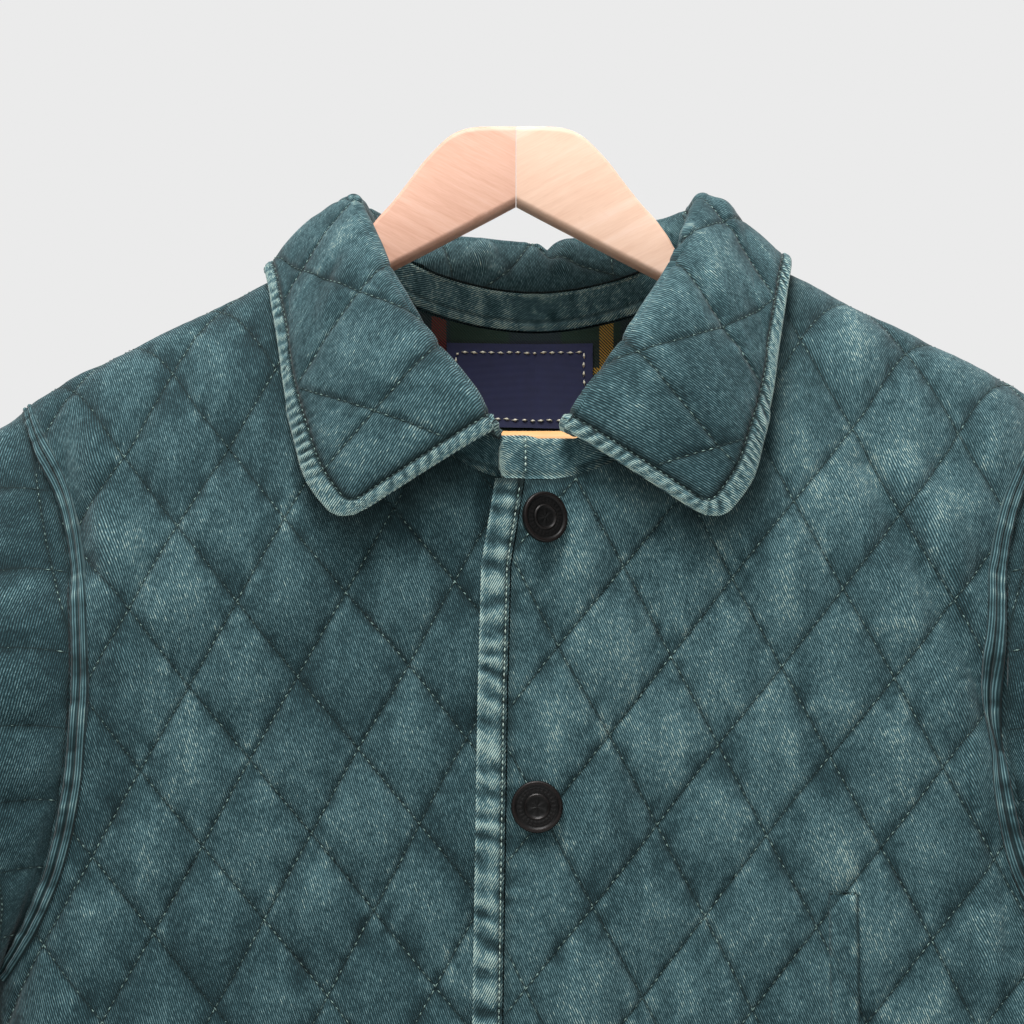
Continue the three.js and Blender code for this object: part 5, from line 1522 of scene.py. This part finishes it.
def buttonLook():
    # dark lacquered metal, browner and smoother where it is rubbed
    look = Look("dark_metal")
    at = look.objectPoint()
    rub = look.value("rub")
    cloud = look.noise(at, 240, 4)
    color = look.mix(rub * 0.75 + (cloud - 0.5) * 0.35, srgb("#040404"), srgb("#221a18"))
    look.fixed(Metallic=0.55, Specular_IOR_Level=0.5)
    rough = 0.46 - rub * 0.16 + (cloud - 0.5) * 0.2
    return look.finish(color, rough, look.noise(at, 900, 3), 0.00008, 0.5)


def makeButtons():
    # a profile turned round its axis, with short radial ticks raised on the ring inside the rim
    look = buttonLook()
    r, y = buttonProfile[:, 0][:, None], buttonProfile[:, 1][:, None]
    angle = np.linspace(0, 2 * math.pi, button["sides"], endpoint=False)
    facing = y > button["faceFrom"]
    ring = bump((r - button["tickAt"]) / button["tickHalf"]) * facing
    ticks = button["tick"] * ring * np.maximum(0, np.cos(angle * button["ticks"]))
    out = y + ticks - 0.12 * bump((r - 2) / 2) * facing * np.cos(angle * button["lobes"])
    rub = bump((r - button["rimAt"]) / 0.7) * facing + 0.6 * bump((r - button["ringAt"]) / 0.5) * facing
    rub = rub + ticks * 1.5
    for k, (x, z, lift, turn) in enumerate(buttonRows):
        place = flatPlace(x, z)
        middle = leftFrontPoint(np.array(float(x)), place[1]) - [0, lift, 0]
        c, s = math.cos(math.radians(turn)), math.sin(math.radians(turn))
        across = r * np.cos(angle + k)
        points = vec(across * c + out * s, across * s - out * c, r * np.sin(angle + k))
        made = loftMesh(f"button_{k + 1}_metal", shifted(points + middle), None, {"rub": rub})
        dress(made, look, f"button_{k + 1}", "button")
    print("buttons made")


makeButtons()

# Lining and label inside the back of the neck

lining = {"x": 0, "half": 112, "top": -102, "bottom": -205, "below": 2.4, "gap": 2.6, "wall": 1.0, "rows": 61,
          "columns": 121, "wave": 0.4}
tartan = {"yellowAt": 37, "redAt": -50, "period": 174, "down": -118, "downPeriod": 92, "ground": 58,
          "groundHalf": 13, "thread": 0.0016, "yellow": "#b98d2e", "red": "#7c2222", "green": "#143024",
          "navy": "#141b33", "black": "#0b1413", "shadow": "#060b0b"}
label = {"x": -8, "half": 38, "top": -104, "bottom": -148, "below": 60, "wall": 0.8, "rows": 41, "columns": 69,
         "wave": 0.15, "margin": 4.5, "rib": 0.0006, "over": 0.45}


def innerSheet(name, sheet, inwards):
    # a thin sheet on the back's inner wall, pushed in by a distance, gently waved
    x, share = np.meshgrid(np.linspace(sheet["x"] - sheet["half"], sheet["x"] + sheet["half"], sheet["columns"]),
                           np.linspace(0, 1, sheet["rows"]))
    top = np.maximum(sheet["top"], np.minimum(neckBackHeight(x), ridgeHeight(x)) - sheet["below"])
    z = sheet["bottom"] + (top - sheet["bottom"]) * share
    a, c = np.moveaxis(flatPlace(x, z), -1, 0)
    at, normal = backPoint(a, c), normalsOf(backPoint, a, c, -1)
    lift = inwards + sheet["wave"] * (1 + noise(x / 24, z / 17, 121))
    outer, inner = at - normal * (lift + sheet["wall"])[..., None], at - normal * lift[..., None]
    cloth = np.stack([x, z], -1) * 0.001
    made = wallMesh(name + "_cloth", shifted(outer), shifted(inner), {"cloth": cloth}, {}, wallStep, 1)
    return made


def stripeOf(amount, centre, period, half):
    # 1 within half of a repeated centre line, with a soft edge
    share = (amount - centre * 0.001) / (period * 0.001)
    off = (share - share.math("ROUND")).math("ABSOLUTE") * (period / half)
    return ((1.12 - off) * 8).math("MAXIMUM", 0.0).math("MINIMUM", 1.0)


def tartanLook():
    # dark green and navy checks with single yellow and red lines, all in a fine twill of two threads
    look = Look("tartan")
    x, y = look.uv("cloth")
    wave = ((x + y) * (2 * math.pi / tartan["thread"])).math("SINE")
    warp = wave * 0.5 + 0.5
    ground = lambda amount: stripeOf(amount, 0, tartan["ground"], tartan["groundHalf"])
    shade = {name: srgb(tartan[name]) for name in ("yellow", "red", "green", "navy", "black", "shadow")}
    down = look.mix(ground(x), shade["green"], shade["navy"])
    down = look.mix(stripeOf(x, tartan["redAt"], tartan["period"], 3.6), down, shade["red"])
    down = look.mix(stripeOf(x, tartan["yellowAt"], tartan["period"], 3.4), down, shade["yellow"])
    cross = look.mix(ground(y), shade["green"], shade["black"])
    cross = look.mix(stripeOf(y, tartan["down"], tartan["downPeriod"], 1.6), cross, shade["yellow"])
    color = look.mix(wave.math("GREATER_THAN", 0.0), down, cross)
    color = look.mix((1 - warp) * 0.3, color, shade["shadow"])
    look.fixed(Sheen_Weight=0.15)
    return look.finish(color, 0.9, warp + look.noise(look.point(x, y), 900, 2), 0.0002, 0.7)


def labelLook():
    # tightly woven navy satin
    look = Look("woven_navy")
    x, y = look.uv("cloth")
    rib = (y * (2 * math.pi / label["rib"])).math("SINE") * 0.5 + 0.5
    cloud = look.noise(look.point(x, y), 160, 3)
    color = look.mix(cloud * 0.6 + rib * 0.3, srgb("#0c1132"), srgb("#1b2352"))
    return look.finish(color, 0.7, rib, 0.0001, 0.5)


def makeNeckInside():
    # the sheets, then the label's running stitch border
    sheet = innerSheet("neck_lining", lining, lining["gap"])
    dress(sheet, tartanLook(), "neck_lining", "lining_cloth")
    gap = lining["gap"] + lining["wall"] + seamGap + 0.8
    made = innerSheet("neck_label", label, gap)
    dress(made, labelLook(), "neck_label", "label_cloth")
    m = label["margin"]
    left, right = label["x"] - label["half"] + m, label["x"] + label["half"] - m
    top, bottom = label["top"] - m, label["bottom"] + m
    path = np.array([[left, bottom], [left, top], [right, top], [right, bottom], [left, bottom]], float)

    def face(x, z):
        a, c = np.moveaxis(flatPlace(x, z), -1, 0)
        return backPoint(a, c) - normalsOf(backPoint, a, c, -1) * (gap + label["wall"] + label["over"])

    starts, ends, _ = pathStitches(face, path, labelStitch, 1)
    rng = np.random.default_rng(labelStitch["seed"])
    ends = ends + rng.uniform(-0.5, 0.5, ends.shape) * [1, 0, 1]
    stitchMesh("neck_label_stitches", starts, ends, forward(len(starts)), labelStitch,
               threadLook("label_thread", "#cfc9b2", "#efead6"), "label_cloth")
    print("lining and label made")


labelStitch = {"pitch": 4.6, "length": 3.7, "width": 1.5, "lift": 0.8, "rise": 0, "seed": 5}
makeNeckInside()

# Hanger

# Distance along x, top and bottom of one arm
hangerRows = np.array([
    [0, 0, -40], [12, 0, -46.5], [22, -0.6, -51.9], [30, -3, -56.2], [37, -8, -60], [47, -19, -65.4],
    [55, -30, -69.7], [63, -40.5, -74], [70, -48.5, -77.8], [76, -57, -81.2], [81, -65.5, -84.4],
    [90, -71.5, -91], [105, -78, -98.5], [130, -90.5, -111], [155, -104, -124], [178, -116, -136.5],
    [197, -126.5, -147],
    [198.5, -127.5, -173], [212, -135.5, -173], [220, -140.5, -169], [225, -146.5, -160],
])
hanger = {"wall": 14, "edge": 3.5, "glue": 0.15, "barRadius": 6, "barZ": -163.5, "barEnd": 196.7, "slope": 28,
          "steps": 141, "curved": 17, "curvedTo": 10, "endThin": 0.3, "endRun": 5, "barSides": 48, "barSteps": 61}


def woodLook(name, dark, middle, pale, slope):
    # long grain along the arm, fine pores, a few knots of colour and small dents
    look = Look(name)
    at = look.objectPoint()
    turned = look.node("ShaderNodeMapping", None, {"Vector": at, "Rotation": (0, math.radians(slope), 0)})
    split = look.node("ShaderNodeSeparateXYZ", None, {0: turned.outputs[0]})
    along, across, up = (Amount(look, split.outputs[k]) for k in (0, 1, 2))
    grain = look.noise(look.point(along * 3.0, across * 40.0, up * 40.0), 6, 5, 0.6)
    ring = look.noise(look.point(along * 0.9, across * 14.0, up * 14.0), 5, 3, 0.5)
    pore = look.noise(look.point(along * 30.0, across * 400.0, up * 400.0), 4, 2)
    cloud = look.noise(at, 18, 3)
    amount = grain * 0.55 + ring * 0.45 + (cloud - 0.5) * 0.4 - (0.62 - pore).math("MAXIMUM", 0.0) * 0.35
    color = look.ramp(amount, [(0.12, srgb(dark)), (0.48, srgb(middle)), (0.85, srgb(pale))])
    dent = look.noise(at, 70, 1)
    chip = ((dent - 0.72) * 14).math("MAXIMUM", 0.0).math("MINIMUM", 1.0)
    color = look.mix(chip * 0.35, color, srgb(dark))
    look.fixed(Specular_IOR_Level=0.35)
    return look.finish(color, grain * 0.2 + 0.42, grain * 0.4 - chip * 1.2, 0.0002, 0.5)


def hangerRing(x, top, bottom, thin):
    # oblong section with rounded edges at one place along the arm
    half, edge = hanger["wall"] / 2 * thin, hanger["edge"] * thin
    turns = np.linspace(0, math.pi / 2, 6)
    y = -ridge["forward"] * (x / ridge["forwardAt"]) ** 2
    corners = [(-1, 1, turns), (1, 1, turns[::-1]), (1, -1, turns), (-1, -1, turns[::-1])]
    dy = np.concatenate([sy * (half - edge + edge * np.cos(t)) for sy, sz, t in corners])
    z = np.concatenate([(top - edge + edge * np.sin(t)) if sz > 0 else (bottom + edge - edge * np.sin(t))
                        for sy, sz, t in corners])
    return vec(x, y + dy, z)


def makeHanger():
    # two lofted arms, thinner at their ends and met at the middle, and a round bar between them
    looks = {1: woodLook("pale_wood", "#d8ad93", "#e9c4ac", "#f2d6c6", hanger["slope"]),
             -1: woodLook("pink_wood", "#c9937a", "#e0b19a", "#edc8b6", -hanger["slope"])}
    for side in (1, -1):
        rows = hangerRows.copy()
        rows[0, 0] = hanger["glue"]
        places = np.unique(np.concatenate([np.linspace(0, len(rows) - 1, hanger["steps"]), np.arange(len(rows))]))
        bend = through(rows[:hanger["curved"]], np.minimum(places, hanger["curved"] - 1))
        straight = np.stack([np.interp(places, np.arange(len(rows)), rows[:, k]) for k in range(3)], -1)
        fine = np.where((places < hanger["curvedTo"])[:, None], bend, straight)
        fine[:, 0] = np.maximum(fine[:, 0], hanger["glue"])
        end = fine[:, 0].max()
        thin = 1 - hanger["endThin"] * (1 - smooth((end - fine[:, 0]) / hanger["endRun"]))
        rings = np.stack([hangerRing(*row, float(share)) for row, share in zip(fine, thin)])
        node = "hanger_left" if side > 0 else "hanger_right"
        made = loftMesh(node + "_wood", rings * [side, 1, 1])
        dress(made, looks[side], node, "wood_light" if side > 0 else "wood_pink")
    angle = np.linspace(0, 2 * math.pi, hanger["barSides"], endpoint=False)
    x = np.linspace(-hanger["barEnd"], hanger["barEnd"], hanger["barSteps"])[:, None]
    y = -ridge["forward"] * (hanger["barEnd"] / ridge["forwardAt"]) ** 2
    radius = hanger["barRadius"]
    rings = vec(x, y + radius * np.cos(angle), hanger["barZ"] + radius * np.sin(angle))
    look = woodLook("bar_wood", "#c98a4e", "#e2ab70", "#efc391", 0)
    dress(loftMesh("hanger_bar_wood", rings), look, "hanger_bar", "wood_bar")
    print("hanger made")


makeHanger()

# Light and floor

# Lamps: name, place in metres, size in metres and power in watts
studio = {
    "floor": -1.05, "floorSize": 6.0, "seen": 0.83, "air": ((0.42, 0.06), (0.95, 0.88)),
    "floorShades": [(0, (0.72, 0.72, 0.71)), (1, (0.78, 0.78, 0.77))], "towards": (0, 0, -0.35),
    "lamps": [("above", (-0.25, -0.75, 1.3), 0.7, 37), ("front", (-0.3, -2.6, 0.5), 1.6, 8),
              ("behind", (0.4, 2.4, 1.0), 2.0, 24)],
}


def areaLight(name, place, towards, size, power):
    # a white disk at its place, turned towards a point
    data = bpy.data.lights.new(name, "AREA")
    data.shape = "DISK"
    data.size = size
    data.energy = power
    lamp = bpy.data.objects.new(name, data)
    lamp.location = place
    lamp.rotation_euler = (Vector(towards) - Vector(place)).to_track_quat("-Z", "Y").to_euler()
    bpy.context.scene.collection.objects.link(lamp)


def makeStudio():
    # plain pale surroundings; the air's light comes mostly from above
    world = bpy.data.worlds.new("air")
    world.use_nodes = True
    nodes, links = world.node_tree.nodes, world.node_tree.links
    seen = nodes["Background"]
    seen.inputs[0].default_value = (studio["seen"], studio["seen"], studio["seen"], 1)
    sky = nodes.new("ShaderNodeBackground")
    split = nodes.new("ShaderNodeSeparateXYZ")
    links.new(nodes.new("ShaderNodeTexCoord").outputs["Generated"], split.inputs[0])
    shade = nodes.new("ShaderNodeValToRGB")
    for stop, (place, amount) in zip(shade.color_ramp.elements, studio["air"]):
        stop.position = place
        stop.color = (amount, amount, amount, 1)
    raised = nodes.new("ShaderNodeMath")
    raised.operation = "MULTIPLY_ADD"
    raised.inputs[1].default_value = raised.inputs[2].default_value = 0.5
    links.new(split.outputs[2], raised.inputs[0])
    links.new(raised.outputs[0], shade.inputs[0])
    links.new(shade.outputs[0], sky.inputs[0])
    mixed = nodes.new("ShaderNodeMixShader")
    links.new(nodes.new("ShaderNodeLightPath").outputs["Is Camera Ray"], mixed.inputs[0])
    links.new(sky.outputs[0], mixed.inputs[1])
    links.new(seen.outputs[0], mixed.inputs[2])
    links.new(mixed.outputs[0], nodes["World Output"].inputs[0])
    bpy.context.scene.world = world
    half = studio["floorSize"] / 2 * 1000
    corners = np.array([[-half, -half], [half, -half], [half, half], [-half, half]])
    points = vec(corners[:, 0], corners[:, 1], studio["floor"] * 1000)
    floor = makeMesh("floor", points, [np.array([[0, 1, 2, 3]])])
    look = Look("pale_floor")
    shade = look.ramp(look.noise(look.objectPoint(), 3), studio["floorShades"])
    floor.data.materials.append(look.finish(shade, 0.8))
    for name, place, size, power in studio["lamps"]:
        areaLight(name, place, studio["towards"], size, power)
    bpy.context.scene.view_settings.view_transform = "Standard"


makeStudio()
